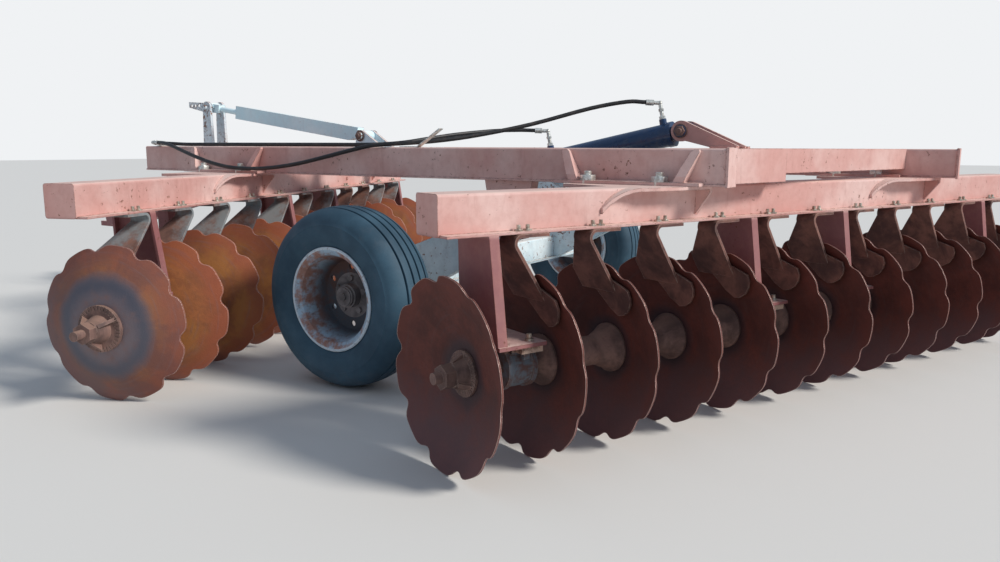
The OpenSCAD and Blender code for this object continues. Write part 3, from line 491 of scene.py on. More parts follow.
@dataclass(frozen=True)
class GangSteel:
    """Rusted disc plate: concentric soil marks, a worn rim and a burnished zone round the hub.

    Attributes:
        name: material name.
        line: the gang that the discs sit on.
        light: lighter rust.
        dark: darker rust.
        worn: colour where soil keeps the plate bare.
        zone: radius of the zone round the hub where the plate is smoother.
        zone_share: how much that zone shows.
        zone_discs: how many discs, from the left end, have that zone.
        soft: half the width over which that zone fades out.
        band: colour of the dark band at that zone's border; on the rear discs, where every disc has
            the zone, it is painted shade round the spools.
        low: colour that grows across a disc one way as painted light: a paler mauve-grey at the
            bottom of the rear discs, painted bounce light from the floor, and a greyer tone towards
            the gang's +Y and down on the front discs, painted shade.
        outer: colour of the lobes.
        rim: colour of the worn edge.
        rim_share: how much it shows.
        painted_light_share: how much that painted light shows.
        painted_light_way: direction across the disc in which it grows, along the gang's Y and Z.
        outer_share: how much the lobes' colour shows.
        first: tone of the discs that have the zone.
        first_share: how much that shows.
        gold: colour of the dusty patches.
        gold_share: how much they show.
        lobes: radii between which the lobes' colour grows.
        edge: radii between which the worn edge sets in.
        before: how far along the shaft a disc's own stretch begins before the disc.
        clouds: where the rust is lighter.
        grains: its pitting.
        dusting: the dusty patches.
        soil_rings: marks that soil leaves round the hub.
        zone_patches: where the zone shows more.
    """

    name: str
    line: GangLine
    light: Colour
    dark: Colour
    worn: Colour
    zone: float
    zone_share: float
    zone_discs: float
    soft: float
    band: Colour
    low: Colour
    outer: Colour
    rim: Colour
    rim_share: float
    painted_light_share: float = 0.6
    painted_light_way: tuple[float, float] = (0.0, -1.0)
    outer_share: float = 0.4
    first: Colour = srgb(134, 92, 78)
    first_share: float = 0.0
    gold: Colour = srgb(184, 120, 58)
    gold_share: float = 0.0
    lobes: tuple[float, float] = (0.26, 0.36)
    edge: tuple[float, float] = (0.3, 0.325)
    before: float = 0.17
    clouds: Patches = Patches(6.5, 6.0, 0.65, 0.34, 0.66, twist=0.3)
    grains: Patches = Patches(70.0, 6.0, 0.7, 0.36, 0.68)
    dusting: Patches = Patches(4.2, 5.0, 0.6, 0.44, 0.62, twist=0.6)
    soil_rings: Patches = Patches(1.0, 3.0, 0.6, 0.5, 0.72)
    zone_patches: Patches = Patches(16.0, 5.0, 0.65, 0.25, 0.55, 1.0, 0.55)

    def build(self) -> Material:
        """Builds the material.

        Returns:
            The material.
        """
        g = Graph(self.name)
        x, y, z = g.split(g.gang(self.line))
        radius = g.reach(y, z)
        angle = g.math("ARCTAN2", z, y)
        index = g.math("FLOOR", g.math("DIVIDE", g.plus(x, self.before), self.line.pitch))
        # each disc takes its patches from another part of the noise
        shift = g.times(index, 3.7)
        flat = g.join(g.plus(y, shift), z, g.times(x, 0.3))
        rings = g.join(g.times(radius, 60.0), g.times(angle, 1.3), shift)
        cloud = g.patches(self.clouds, flat)
        colour = g.mix(cloud, self.dark, self.light)
        grain = g.patches(self.grains, flat)
        colour = g.mix(g.times(grain, 0.42), colour, self.dark)
        tone = g.fit(g.chance(index), 0.0, 1.0, 0.0, 0.3)
        colour = g.mix(tone, colour, self.dark)
        first = g.math("LESS_THAN", index, self.zone_discs)
        gold = g.times(g.patches(self.dusting, flat), self.gold_share)
        colour = g.mix(gold, colour, self.gold)
        lobes = g.plus(radius, g.times(cloud, 0.05))
        colour = g.mix(g.fit(lobes, *self.lobes, 0.0, self.outer_share), colour, self.outer)
        patch = g.fit(cloud, 0.0, 1.0, self.first_share, 0.6 * self.first_share)
        colour = g.mix(g.times(first, patch), colour, self.first)
        # painted light across each disc: bounce light from the floor at the bottom of the rear
        # discs, shade towards the gang's +Y and down on the front discs
        way = g.plus(g.times(y, self.painted_light_way[0]), g.times(z, self.painted_light_way[1]))
        fade = g.minus(way, g.times(cloud, 0.08))
        colour = g.mix(g.fit(fade, -0.06, 0.26, 0.0, self.painted_light_share), colour, self.low)
        ring = g.patches(self.soil_rings, rings)
        colour = g.mix(g.times(ring, 0.22), colour, self.worn)
        # the zone round the hub on the discs that have it, and the dark band at its border, which
        # on the rear discs is painted shade round the spools
        blur = g.plus(radius, g.times(g.noise(9.0, 4.0, 0.6, flat), 0.05))
        zone = g.fit(blur, self.zone + self.soft, self.zone - self.soft)
        zone = g.times(g.times(zone, first), self.zone_share)
        zone = g.times(zone, g.patches(self.zone_patches, flat))
        colour = g.mix(zone, colour, self.worn)
        near = g.math("ABSOLUTE", g.minus(blur, self.zone - 0.5 * self.soft))
        band = g.times(g.fit(near, 1.6 * self.soft, 0.0), first)
        colour = g.mix(g.times(band, 0.8 * self.zone_share), colour, self.band)
        # bare steel on the worn edge
        edge = g.edge(0.004, 0.02, 0.2)
        rim = g.times(g.fit(radius, *self.edge), edge)
        colour = g.mix(g.times(rim, self.rim_share), colour, self.rim)
        rough = g.minus(0.72, g.times(g.most(zone, rim), 0.3))
        metal = g.times(g.most(zone, rim), 0.6)
        height = g.plus(g.times(grain, 0.7), g.times(ring, 0.3))
        g.bump(height, 0.0007, 0.7, soft_edge=0.0015)
        return g.finish(colour, rough, metal)


@dataclass(frozen=True)
class RustedIron:
    """Rusted or weathered iron without paint, also bare cast parts.

    Attributes:
        name: material name.
        light: lighter rust.
        dark: darker rust.
        edge_colour: colour of worn edges.
        dust: colour of the dust on top faces.
        grain: scale of the pitting.
        pits: depth of the pitting.
        rough: its roughness.
        paint: colour of paint left on it.
        paint_share: how much of that shows.
        clouds: where the rust is lighter.
        remains: where paint is left.
        wear: where edges are worn.
    """

    name: str
    light: Colour
    dark: Colour
    edge_colour: Colour
    dust: Colour = srgb(178, 142, 122)
    grain: float = 60.0
    pits: float = 0.0009
    rough: float = 0.74
    paint: Colour = srgb(136, 150, 154)
    paint_share: float = 0.0
    clouds: Patches = Patches(8.0, 6.0, 0.65, 0.35, 0.66, twist=0.4)
    remains: Patches = Patches(3.4, 7.0, 0.75, 0.42, 0.6, twist=0.3)
    wear: Patches = Patches(35.0, 4.0, 0.6, 0.3, 0.6)

    def build(self) -> Material:
        """Builds the material.

        Returns:
            The material.
        """
        g = Graph(self.name)
        colour = g.mix(g.patches(self.clouds), self.dark, self.light)
        pit = g.noise(self.grain, 7.0, 0.72)
        colour = g.mix(g.fit(pit, 0.5, 0.7, 0.0, 0.55), colour, self.dark)
        left = g.times(g.patches(self.remains), self.paint_share)
        colour = g.mix(left, colour, self.paint)
        edge = g.times(g.edge(0.005), g.patches(self.wear))
        colour = g.mix(g.times(edge, 0.7), colour, self.edge_colour)
        top = g.fit(g.up(), 0.5, 0.95)
        colour = g.mix(g.times(top, 0.35), colour, self.dust)
        rough = g.minus(self.rough, g.times(edge, 0.22))
        g.bump(pit, self.pits, 0.8, soft_edge=0.002)
        return g.finish(colour, rough)


@dataclass(frozen=True)
class RimSteel:
    """Rim: dark and rusty in its dish, blue-grey paint left on its flange.

    Attributes:
        name: material name.
        dish: dark colour in the dish, painted shade.
        rust: rust in the dish.
        flange: paint left on the wall.
        stain: rust on the wall.
        lip: pale colour of the thin lip beside the tyre, a painted highlight.
        middle: the axle line's Y and Z in the object frame.
        wall: radius where the wall begins.
        border: radius where the lip begins.
        stains: rust on the wall.
    """

    name: str = "rim_steel"
    dish: Colour = srgb(64, 68, 76)
    rust: Colour = srgb(84, 58, 52)
    flange: Colour = srgb(170, 194, 212)
    stain: Colour = srgb(160, 118, 104)
    lip: Colour = srgb(206, 218, 226)
    middle: tuple[float, float] = (-0.578, 0.434)
    wall: float = 0.192
    border: float = 0.234
    stains: Patches = Patches(9.0, 6.0, 0.7, 0.42, 0.58)

    def build(self) -> Material:
        """Builds the material.

        Returns:
            The material.
        """
        g = Graph(self.name)
        _, y, z = g.split(g.coords)
        y, z = g.minus(y, self.middle[0]), g.minus(z, self.middle[1])
        radius = g.reach(y, z)
        cloud = g.noise(9.0, 6.0, 0.65, twist=0.4)
        rusty = g.fit(g.plus(cloud, g.times(z, 0.7)), 0.42, 0.62)
        # the dish in a dark colour, painted shade, with rust that grows towards the top
        colour = g.mix(rusty, self.dish, self.rust)
        wall = g.fit(radius, self.wall - 0.02, self.wall + 0.02)
        paint = g.mix(g.patches(self.stains), self.flange, self.stain)
        colour = g.mix(wall, colour, paint)
        # a painted highlight on the thin lip
        lip = g.fit(radius, self.border, self.border + 0.004)
        colour = g.mix(lip, colour, self.lip)
        pit = g.noise(60.0, 6.0, 0.7)
        colour = g.mix(g.fit(pit, 0.52, 0.7, 0.0, 0.6), colour, self.rust)
        g.bump(pit, 0.0006, 0.8, soft_edge=0.002)
        return g.finish(colour, 0.62)


@dataclass(frozen=True)
class BearingPaint:
    """Gang bearing: cream casting above, blue-grey housing below, both rust-stained.

    Attributes:
        name: material name.
        casting: colour of the casting.
        housing: colour of the housing.
        rust: colour of the stains.
        border: height between the two.
        edge_colour: colour of worn edges.
        stains: where rust stains it.
    """

    name: str = "bearing_paint"
    casting: Colour = srgb(206, 178, 158)
    housing: Colour = srgb(112, 122, 132)
    rust: Colour = srgb(106, 72, 62)
    border: float = 0.418
    edge_colour: Colour = srgb(188, 170, 156)
    stains: Patches = Patches(22.0, 6.0, 0.7, 0.42, 0.6, 0.85, twist=0.4)

    def build(self) -> Material:
        """Builds the material.

        Returns:
            The material.
        """
        g = Graph(self.name)
        height = g.split(g.coords)[2]
        colour = g.mix(g.fit(height, self.border - 0.006, self.border + 0.006), self.housing,
                       self.casting)
        colour = g.mix(g.patches(self.stains), colour, self.rust)
        edge = g.times(g.edge(0.004), 0.6)
        colour = g.mix(edge, colour, self.edge_colour)
        g.bump(g.noise(70.0, 6.0, 0.7), 0.0006, 0.8, soft_edge=0.002)
        return g.finish(colour, 0.66)


@dataclass(frozen=True)
class TyreRubber:
    """Old implement tyre rubber: greyed, finely cracked, muddy at the ground.

    Attributes:
        name: material name.
        fresh: colour of the darker rubber.
        greyed: colour where it has greyed.
        dust: colour of dust and mud.
        mud: height up to which mud clings.
        clouds: where the rubber is greyed.
        clods: mud near the ground.
        film: thin dust.
    """

    name: str = "tyre_rubber"
    fresh: Colour = srgb(46, 70, 86)
    greyed: Colour = srgb(68, 98, 116)
    dust: Colour = srgb(158, 136, 120)
    mud: float = 0.16
    clouds: Patches = Patches(3.2, 5.0, 0.6, 0.3, 0.72)
    clods: Patches = Patches(18.0, 6.0, 0.7, 0.36, 0.6)
    film: Patches = Patches(13.0, 5.0, 0.7, 0.52, 0.75, 0.05)

    def build(self) -> Material:
        """Builds the material.

        Returns:
            The material.
        """
        g = Graph(self.name)
        colour = g.mix(g.patches(self.clouds), self.fresh, self.greyed)
        fine = g.noise(130.0, 5.0, 0.7)
        colour = g.mix(g.fit(fine, 0.5, 0.75, 0.0, 0.4), colour, self.fresh)
        low = g.fit(g.split(g.coords)[2], self.mud, 0.0)
        mud = g.times(low, g.patches(self.clods))
        colour = g.mix(g.times(mud, 0.12), colour, self.dust)
        colour = g.mix(g.patches(self.film), colour, self.dust)
        g.bump(fine, 0.0005, 0.7)
        g.shader.inputs["Specular IOR Level"].default_value = 0.3
        return g.finish(colour, g.plus(0.62, g.times(mud, 0.3)))


@dataclass(frozen=True)
class HoseRubber:
    """Black rubber of a hydraulic hose, dusty on top, with its cover's fine grain.

    Attributes:
        name: material name.
        colour: colour of the rubber.
        dust: colour of the dust.
        film: thin dust.
    """

    name: str = "hose_rubber"
    colour: Colour = srgb(34, 34, 36)
    dust: Colour = srgb(120, 104, 94)
    film: Patches = Patches(20.0, 5.0, 0.65, 0.45, 0.75, 0.4)

    def build(self) -> Material:
        """Builds the material.

        Returns:
            The material.
        """
        g = Graph(self.name)
        top = g.fit(g.up(), 0.3, 0.95)
        film = g.times(g.patches(self.film), g.plus(0.35, top))
        colour = g.mix(film, self.colour, self.dust)
        g.bump(g.noise(240.0, 3.0, 0.6), 0.0003, 0.7)
        return g.finish(colour, 0.5)


@dataclass(frozen=True)
class PlatedSteel:
    """Zinc plated bolts and straps, dulled, with a little rust.

    Attributes:
        name: material name.
        bright: colour of the clean plating.
        dull: colour of the dulled plating.
        rust: colour of the rust.
        rust_share: how much of that shows.
        clouds: where the plating is clean.
        rusting: where it rusts.
    """

    name: str = "zinc_plate"
    bright: Colour = srgb(236, 238, 232)
    dull: Colour = srgb(186, 184, 176)
    rust: Colour = srgb(116, 74, 50)
    rust_share: float = 0.5
    clouds: Patches = Patches(60.0, 5.0, 0.6, 0.35, 0.65)
    rusting: Patches = Patches(45.0, 6.0, 0.7, 0.56, 0.64, twist=0.5)

    def build(self) -> Material:
        """Builds the material.

        Returns:
            The material.
        """
        g = Graph(self.name)
        colour = g.mix(g.patches(self.clouds), self.dull, self.bright)
        rust = g.times(g.patches(self.rusting), self.rust_share)
        colour = g.mix(rust, colour, self.rust)
        rough = g.plus(0.36, g.times(rust, 0.4))
        metal = g.minus(0.6, g.times(rust, 0.6))
        g.bump(g.noise(160.0, 4.0, 0.6), 0.0003, 0.6, soft_edge=0.001)
        return g.finish(colour, rough, metal)


@dataclass(frozen=True)
class GlossPaint:
    """Dark gloss paint of the cylinder, chipped a little at its edges.

    Attributes:
        name: material name.
        colour: colour of the paint.
        worn: colour of worn edges.
        dust: colour of the film of dust.
        film: thin dust.
        wear: where edges are worn.
        dulling: its roughness.
    """

    name: str = "navy_gloss"
    colour: Colour = srgb(10, 50, 92)
    worn: Colour = srgb(92, 96, 102)
    dust: Colour = srgb(112, 104, 100)
    film: Patches = Patches(11.0, 5.0, 0.65, 0.46, 0.76, 0.3)
    wear: Patches = Patches(50.0, 5.0, 0.7, 0.42, 0.58)
    dulling: Patches = Patches(14.0, 4.0, 0.6, 0.3, 0.7, 0.42, 0.2)

    def build(self) -> Material:
        """Builds the material.

        Returns:
            The material.
        """
        g = Graph(self.name)
        colour = g.mix(g.patches(self.film), self.colour, self.dust)
        edge = g.times(g.edge(0.003), g.patches(self.wear))
        colour = g.mix(edge, colour, self.worn)
        g.bump(g.noise(60.0, 2.0, 0.5), 0.0002, 0.4, soft_edge=0.002)
        return g.finish(colour, g.patches(self.dulling), coat=0.5)


@dataclass(frozen=True)
class Chrome:
    """Hard chrome of a cylinder rod, with a film of dust.

    Attributes:
        name: material name.
        colour: colour of the chrome.
        dust: colour of the dust.
        film: thin dust.
    """

    name: str = "rod_chrome"
    colour: Colour = srgb(206, 208, 210)
    dust: Colour = srgb(150, 128, 112)
    film: Patches = Patches(16.0, 5.0, 0.65, 0.5, 0.75, 0.5)

    def build(self) -> Material:
        """Builds the material.

        Returns:
            The material.
        """
        g = Graph(self.name)
        film = g.patches(self.film)
        colour = g.mix(film, self.colour, self.dust)
        rough, metal = g.plus(0.14, g.times(film, 0.5)), g.minus(1.0, g.times(film, 0.8))
        return g.finish(colour, rough, metal)


class Finishes:
    """All materials of the harrow, each built once."""

    def __init__(self) -> None:
        """Builds the materials."""
        # the frame's darker red below 0.86 m is partly painted shade under the gang beams
        self.frame = WornPaint("oxide_paint", srgb(208, 156, 147), srgb(223, 188, 180),
                               srgb(180, 126, 116), chip=0.35, dust=srgb(224, 194, 182),
                               low_paint_and_shade=srgb(126, 66, 71), low_paint_below=0.86).build()
        self.pale = WornPaint("pale_paint", srgb(196, 226, 238), srgb(232, 243, 246),
                              srgb(160, 166, 170), dust=srgb(228, 218, 208), chip=0.7,
                              rust=srgb(124, 72, 52), gloss=0.5).build()
        self.stay = WornPaint("stay_paint", srgb(218, 246, 253), srgb(238, 251, 254),
                              srgb(214, 226, 230), dust=srgb(244, 242, 238), chip=0.12,
                              rust=srgb(140, 88, 66), gloss=0.5).build()
        self.lug = WornPaint("lug_paint", srgb(222, 242, 250), srgb(244, 250, 252),
                             srgb(196, 208, 214), chip=0.5, low_paint_and_shade=srgb(214, 168, 158),
                             low_paint_below=1.15).build()
        self.mast = WornPaint("mast_paint", srgb(206, 220, 228), srgb(236, 240, 242),
                              srgb(150, 132, 122), chip=1.25, rust=srgb(124, 78, 58)).build()
        self.rear_discs = GangSteel("disc_plate_rear", REAR, srgb(116, 57, 46), srgb(80, 39, 32),
                                    srgb(90, 70, 70), zone=0.14, zone_share=0.7,
                                    # band: painted shade round the spools
                                    zone_discs=20.0, soft=0.035, band=srgb(50, 42, 50),
                                    # low: painted bounce light from the floor at the discs' bottom
                                    low=srgb(122, 96, 100), painted_light_share=0.45,
                                    outer=srgb(112, 54, 44), rim=srgb(206, 184, 174),
                                    rim_share=0.85).build()
        self.front_discs = GangSteel("disc_plate_front", FRONT, srgb(186, 114, 66),
                                     srgb(138, 84, 54), srgb(118, 108, 114), zone=0.24,
                                     zone_share=0.95, zone_discs=0.5, soft=0.04,
                                     # low: painted shade towards the gang's +Y and down
                                     band=srgb(80, 86, 100), low=srgb(112, 96, 98),
                                     painted_light_way=(0.8, -0.6), outer=srgb(154, 78, 54),
                                     outer_share=0.75, first=srgb(112, 72, 66),
                                     first_share=0.75, gold_share=0.65,
                                     rim=srgb(232, 206, 198), rim_share=0.95).build()
        self.cast = RustedIron("cast_iron", srgb(140, 108, 98), srgb(86, 66, 62),
                               srgb(176, 150, 136)).build()
        self.hub = RustedIron("hub_iron", srgb(132, 124, 124), srgb(86, 80, 80),
                              srgb(168, 160, 156)).build()
        self.blade = RustedIron("scraper_steel", srgb(136, 92, 80), srgb(84, 56, 52),
                                srgb(204, 180, 164), grain=45.0).build()
        self.front_blade = RustedIron("scraper_steel_front", srgb(140, 98, 84),
                                      srgb(90, 60, 54), srgb(204, 180, 164), grain=45.0,
                                      paint_share=0.8).build()
        self.rim = RimSteel().build()
        self.bearing = BearingPaint().build()
        self.zinc = PlatedSteel().build()
        self.bolt = PlatedSteel("aged_bolts", srgb(206, 198, 184), srgb(150, 132, 118),
                                srgb(130, 86, 62), rust_share=0.8).build()
        self.navy = GlossPaint().build()
        self.chrome = Chrome().build()
        self.hose = HoseRubber().build()
        self.tyre = TyreRubber().build()


# --------------------------------------------------------------------------- shop tools


def deselect() -> None:
    """Leaves edit mode and deselects every object."""
    if bpy.context.object and bpy.context.object.mode != "OBJECT":
        bpy.ops.object.mode_set(mode="OBJECT")
    bpy.ops.object.select_all(action="DESELECT")


def activate(piece: Piece) -> None:
    """Selects one object and makes it active.

    Args:
        piece: the object.
    """
    deselect()
    piece.select_set(True)
    bpy.context.view_layer.objects.active = piece


def settle(piece: Piece, smooth: float) -> Piece:
    """Puts a piece's place into its mesh and shades it.

    Args:
        piece: mesh object.
        smooth: edges flatter than this many degrees are shaded smooth.

    Returns:
        The same object, at the origin, unturned and unscaled.
    """
    activate(piece)
    bpy.ops.object.transform_apply(location=True, rotation=True, scale=True)
    bpy.ops.object.shade_smooth_by_angle(angle=math.radians(smooth))
    return piece


def modify(piece: Piece, kind: str, **settings: object) -> None:
    """Adds a modifier and applies it.

    Args:
        piece: mesh object.
        kind: type of the modifier.
        settings: its properties.
    """
    activate(piece)
    modifier = piece.modifiers.new(kind.lower(), kind)
    for key, value in settings.items():
        setattr(modifier, key, value)
    bpy.ops.object.modifier_apply(modifier=modifier.name)


def dress(piece: Piece, material: Material) -> None:
    """Gives a piece one material."""
    piece.data.materials.clear()
    piece.data.materials.append(material)


def dress_nodes(finishes: dict[str, Material]) -> None:
    """Gives CAD nodes their materials, by the nodes' names."""
    for node, material in finishes.items():
        dress(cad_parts[node], material)


def fit_out(piece: Piece, material: Material, slot: Slot,
            body: Optional[Body] = None, stands_for: Optional[str] = None) -> None:
    """Dresses an added piece and says what it rides on and stands for.

    Args:
        piece: the added piece.
        material: its material.
        slot: the record's slot for that material; not used.
        body: the body that it rides on; a hose is given none.
        stands_for: the CAD node that it replaces.
    """
    dress(piece, material)
    if body:
        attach(piece, body.value)
    if stands_for:
        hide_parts(stands_for)


def gather(name: str, pieces: Sequence[Piece]) -> Piece:
    """Joins pieces to one and names it.

    Args:
        name: the joined piece's name.
        pieces: what is joined.

    Returns:
        The joined piece.
    """
    deselect()
    for piece in pieces:
        piece.select_set(True)
    bpy.context.view_layer.objects.active = pieces[0]
    if len(pieces) > 1:
        bpy.ops.object.join()
    whole = bpy.context.view_layer.objects.active
    whole.name = name
    whole.data.name = name
    return whole


def repeat(name: str, pattern: Piece, spots: Iterable[Matrix]) -> Piece:
    """Copies a pattern to each spot, each copy with its own mesh, and joins the copies.

    Args:
        name: name of the joined piece.
        pattern: the piece that is copied, then removed.
        spots: where each copy goes.

    Returns:
        The joined piece.
    """
    copies = []
    for spot in spots:
        copy = pattern.copy()
        copy.data = pattern.data.copy()
        bpy.context.scene.collection.objects.link(copy)
        copy.matrix_world = spot
        copies.append(copy)
    bpy.data.objects.remove(pattern)
    bpy.context.view_layer.update()
    return settle(gather(name, copies), 30.0)


def lathe(name: str, outline: Sequence[tuple[float, float]], steps: int,
          closed: bool = True) -> Piece:
    """Turns an outline round the Z axis, as on a lathe.

    Args:
        name: the piece's name.
        outline: points (radius, height) in order.
        steps: faces round.
        closed: whether the outline's end joins its start.

    Returns:
        The turned piece at the origin.
    """
    deselect()
    bpy.ops.mesh.primitive_plane_add(size=0.001, location=(0, 0, 0))
    piece = bpy.context.object
    piece.name = name
    bpy.ops.object.mode_set(mode="EDIT")
    bpy.ops.mesh.select_all(action="SELECT")
    bpy.ops.mesh.merge(type="CENTER")
    first = Vector((outline[0][0], 0.0, outline[0][1]))
    bpy.ops.transform.translate(value=first)
    spot = first
    for radius, height in outline[1:]:
        step = Vector((radius, 0.0, height)) - spot
        bpy.ops.mesh.extrude_vertices_move(TRANSFORM_OT_translate={"value": step})
        spot = spot + step
    bpy.ops.mesh.select_all(action="SELECT")
    if closed:
        bpy.ops.object.mode_set(mode="OBJECT")
        for vert in piece.data.vertices:
            vert.select = vert.index in (0, len(outline) - 1)
        bpy.ops.object.mode_set(mode="EDIT")
        bpy.ops.mesh.edge_face_add()
        bpy.ops.mesh.select_all(action="SELECT")
    bpy.ops.mesh.spin(steps=steps, angle=math.tau, center=(0, 0, 0), axis=(0, 0, 1))
    bpy.ops.mesh.select_all(action="SELECT")
    bpy.ops.mesh.remove_doubles(threshold=0.00005)
    bpy.ops.mesh.normals_make_consistent(inside=False)
    bpy.ops.object.mode_set(mode="OBJECT")
    return piece


def sweep(name: str, points: Sequence[Vector], radius: float, sides: int,
          swell: Optional[Callable[[int], float]] = None) -> Piece:
    """Draws a round tube along points.

    Args:
        name: the piece's name.
        points: middle line.
        radius: radius of the tube.
        sides: faces round.
        swell: share of the radius at each point, 1 if left out.

    Returns:
        The tube as a mesh.
    """
    curve = bpy.data.curves.new(name, "CURVE")
    curve.dimensions = "3D"
    curve.bevel_depth = radius
    curve.bevel_resolution = max(0, sides // 4 - 1)
    curve.use_fill_caps = True
    spline = curve.splines.new("POLY")
    spline.points.add(len(points) - 1)
    for i, (spot, point) in enumerate(zip(spline.points, points)):
        spot.co = (*point, 1.0)
        spot.radius = swell(i) if swell else 1.0
    piece = bpy.data.objects.new(name, curve)
    bpy.context.scene.collection.objects.link(piece)
    activate(piece)
    bpy.ops.object.convert(target="MESH")
    piece = bpy.context.object
    bpy.ops.object.shade_smooth_by_angle(angle=math.radians(50.0))
    return piece


@dataclass(frozen=True)
class Bolt:
    """Hexagon on a washer with the thread's end above it.

    Attributes:
        across: radius of the hexagon to its corners.
        head: height of the hexagon.
        washer: radius of the washer.
        thread: radius of the thread.
        proud: how far the thread stands out of the hexagon.
    """

    across: float
    head: float
    washer: float
    thread: float
    proud: float

    def model(self) -> Piece:
        """Models the bolt.

        Returns:
            The bolt on z = 0, at the origin.
        """
        thick = 0.16 * self.across
        half = self.head / 2
        long = self.proud + half
        parts = []
        # the hexagon, the washer, and the thread that starts halfway up the hexagon
        for sides, radius, depth, middle in (
                (6, self.across, self.head, thick + half),
                (28, self.washer, thick, thick / 2),
                (20, self.thread, long, thick + half + long / 2)):
            deselect()
            bpy.ops.mesh.primitive_cylinder_add(vertices=sides, radius=radius, depth=depth,
                                                location=(0, 0, middle))
            parts.append(bpy.context.object)
        nut, ring, thread = parts
        modify(nut, "BEVEL", width=self.across * 0.07, segments=2, limit_method="ANGLE")
        modify(ring, "BEVEL", width=thick * 0.3, segments=1, limit_method="ANGLE")
        chamfer = self.thread * 0.18
        activate(thread)
        bpy.ops.object.mode_set(mode="EDIT")
        bpy.ops.mesh.select_all(action="DESELECT")
        bpy.ops.object.mode_set(mode="OBJECT")
        for face in thread.data.polygons:
            face.select = face.normal.z > 0.9
        bpy.ops.object.mode_set(mode="EDIT")
        bpy.ops.mesh.inset(thickness=chamfer)
        bpy.ops.transform.translate(value=(0, 0, chamfer))
        bpy.ops.object.mode_set(mode="OBJECT")
        return gather("bolt_pattern", parts)


def islands(node: str) -> list[tuple[Vector, Vector]]:
    """Gives the box of each separate solid of a CAD node.

    Args:
        node: the node's name.

    Returns:
        Lowest and highest corner of each solid, ordered by X.
    """
    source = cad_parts[node]
    copy = source.copy()
    copy.data = source.data.copy()
    copy.parent = None
    bpy.context.scene.collection.objects.link(copy)
    activate(copy)
    bpy.ops.object.mode_set(mode="EDIT")
    bpy.ops.mesh.select_all(action="SELECT")
    bpy.ops.mesh.remove_doubles(threshold=0.00002)
    bpy.ops.mesh.separate(type="LOOSE")
    bpy.ops.object.mode_set(mode="OBJECT")
    boxes = []
    for part in list(bpy.context.selected_objects):
        points = [v.co for v in part.data.vertices]
        low = Vector([min(p[i] for p in points) for i in range(3)])
        high = Vector([max(p[i] for p in points) for i in range(3)])
        boxes.append((low, high))
        bpy.data.objects.remove(part)
    boxes.sort(key=lambda b: (b[0].x, b[0].y))
    return boxes


# --------------------------------------------------------------------------- sub-assemblies


@dataclass(frozen=True)
class BoltSet:
    """Upright bolts of one size that stand where a CAD node has them.

    Attributes:
        node: CAD node of the bolts, which the set replaces.
        name: name of the set.
        bolt: their size.
        seat: height of the face that they sit on, or the CAD bolts' own foot if left out.
        turn: radians that a bolt is turned for each metre of its X and Y.
    """

    node: str
    name: str
    bolt: Bolt
    seat: Optional[float] = None
    turn: tuple[float, float] = (11.0, 5.0)


CLAMP_NUTS = BoltSet("clamp_bolts", "clamp_nuts", Bolt(0.035, 0.046, 0.039, 0.0165, 0.014),
                     turn=(7.0, 0.0))
SCRAPER_BOLTS = BoltSet("scraper_bolts", "scraper_bolt_set",
                        Bolt(0.0165, 0.014, 0.0195, 0.0075, 0.014), 0.854)
BEARING_BOLTS = BoltSet("bearing_bolts", "bearing_bolt_set",
                        Bolt(0.0185, 0.016, 0.023, 0.0095, 0.016), 0.4695)


@dataclass
class Steelwork:
    """Welded frame: beams, cross members, clamps, lugs, standards and bearings.

    Attributes:
        finishes: the materials.
        painted: CAD nodes in the frame's own paint.
    """

    finishes: Finishes
    painted: tuple[str, ...] = (
        "main_beam_left", "main_beam_right", "cross_member_rear", "cross_member_mid",
        "cross_member_front", "gang_beam_rear", "gang_beam_front", "gang_clamps",
        "standards_rear", "standards_front", "cylinder_lugs", "axle_hangers", "drawbar")

    def build(self) -> None:
        """Dresses the frame's nodes and adds its bolts."""
        f = self.finishes
        dress_nodes({node: f.frame for node in self.painted})
        dress_nodes({"bearings_rear": f.bearing, "bearings_front": f.bearing,
                     "hose_clips": f.zinc})
        self.bolts(CLAMP_NUTS, f.zinc)
        self.bolts(SCRAPER_BOLTS, f.bolt)
        self.bolts(BEARING_BOLTS, f.bolt)

    def bolts(self, kind: BoltSet, material: Material) -> None:
        """Models a set of bolts in place of its CAD node.

        Args:
            kind: the set.
            material: its material.
        """
        spots = []
        for low, high in islands(kind.node):
            middle = (low + high) / 2
            seat = low.z if kind.seat is None else kind.seat
            turn = middle.x * kind.turn[0] + middle.y * kind.turn[1]
            spots.append(Matrix.Translation((middle.x, middle.y, seat))
                         @ Matrix.Rotation(turn, 4, "Z"))
        whole = repeat(kind.name, kind.bolt.model(), spots)
        fit_out(whole, material, Slot.ZINC, Body.FRAME, kind.node)


@dataclass(frozen=True)
class Seam:
    """One straight weld seam.

    Attributes:
        start: where it starts, in millimetres.
        end: where it ends.
        radius: radius of the bead, in metres.
    """

    start: Point
    end: Point
    radius: float = 0.0042


@dataclass(frozen=True)
class Clamp:
    """Clamp plate beside a main beam's foot, in millimetres of the drawing frame.

    Attributes:
        x: left side of its main beam.
        line: y of the gang beam's middle line there.
        rear: the plate's rear edge, from that line on.
        front: its front edge, from that line on.
        rear_gusset: whether it has a gusset near its rear edge.
        front_gusset: whether it has one near its front edge.
    """

    x: float
    line: float
    rear: float
    front: float
    rear_gusset: bool
    front_gusset: bool


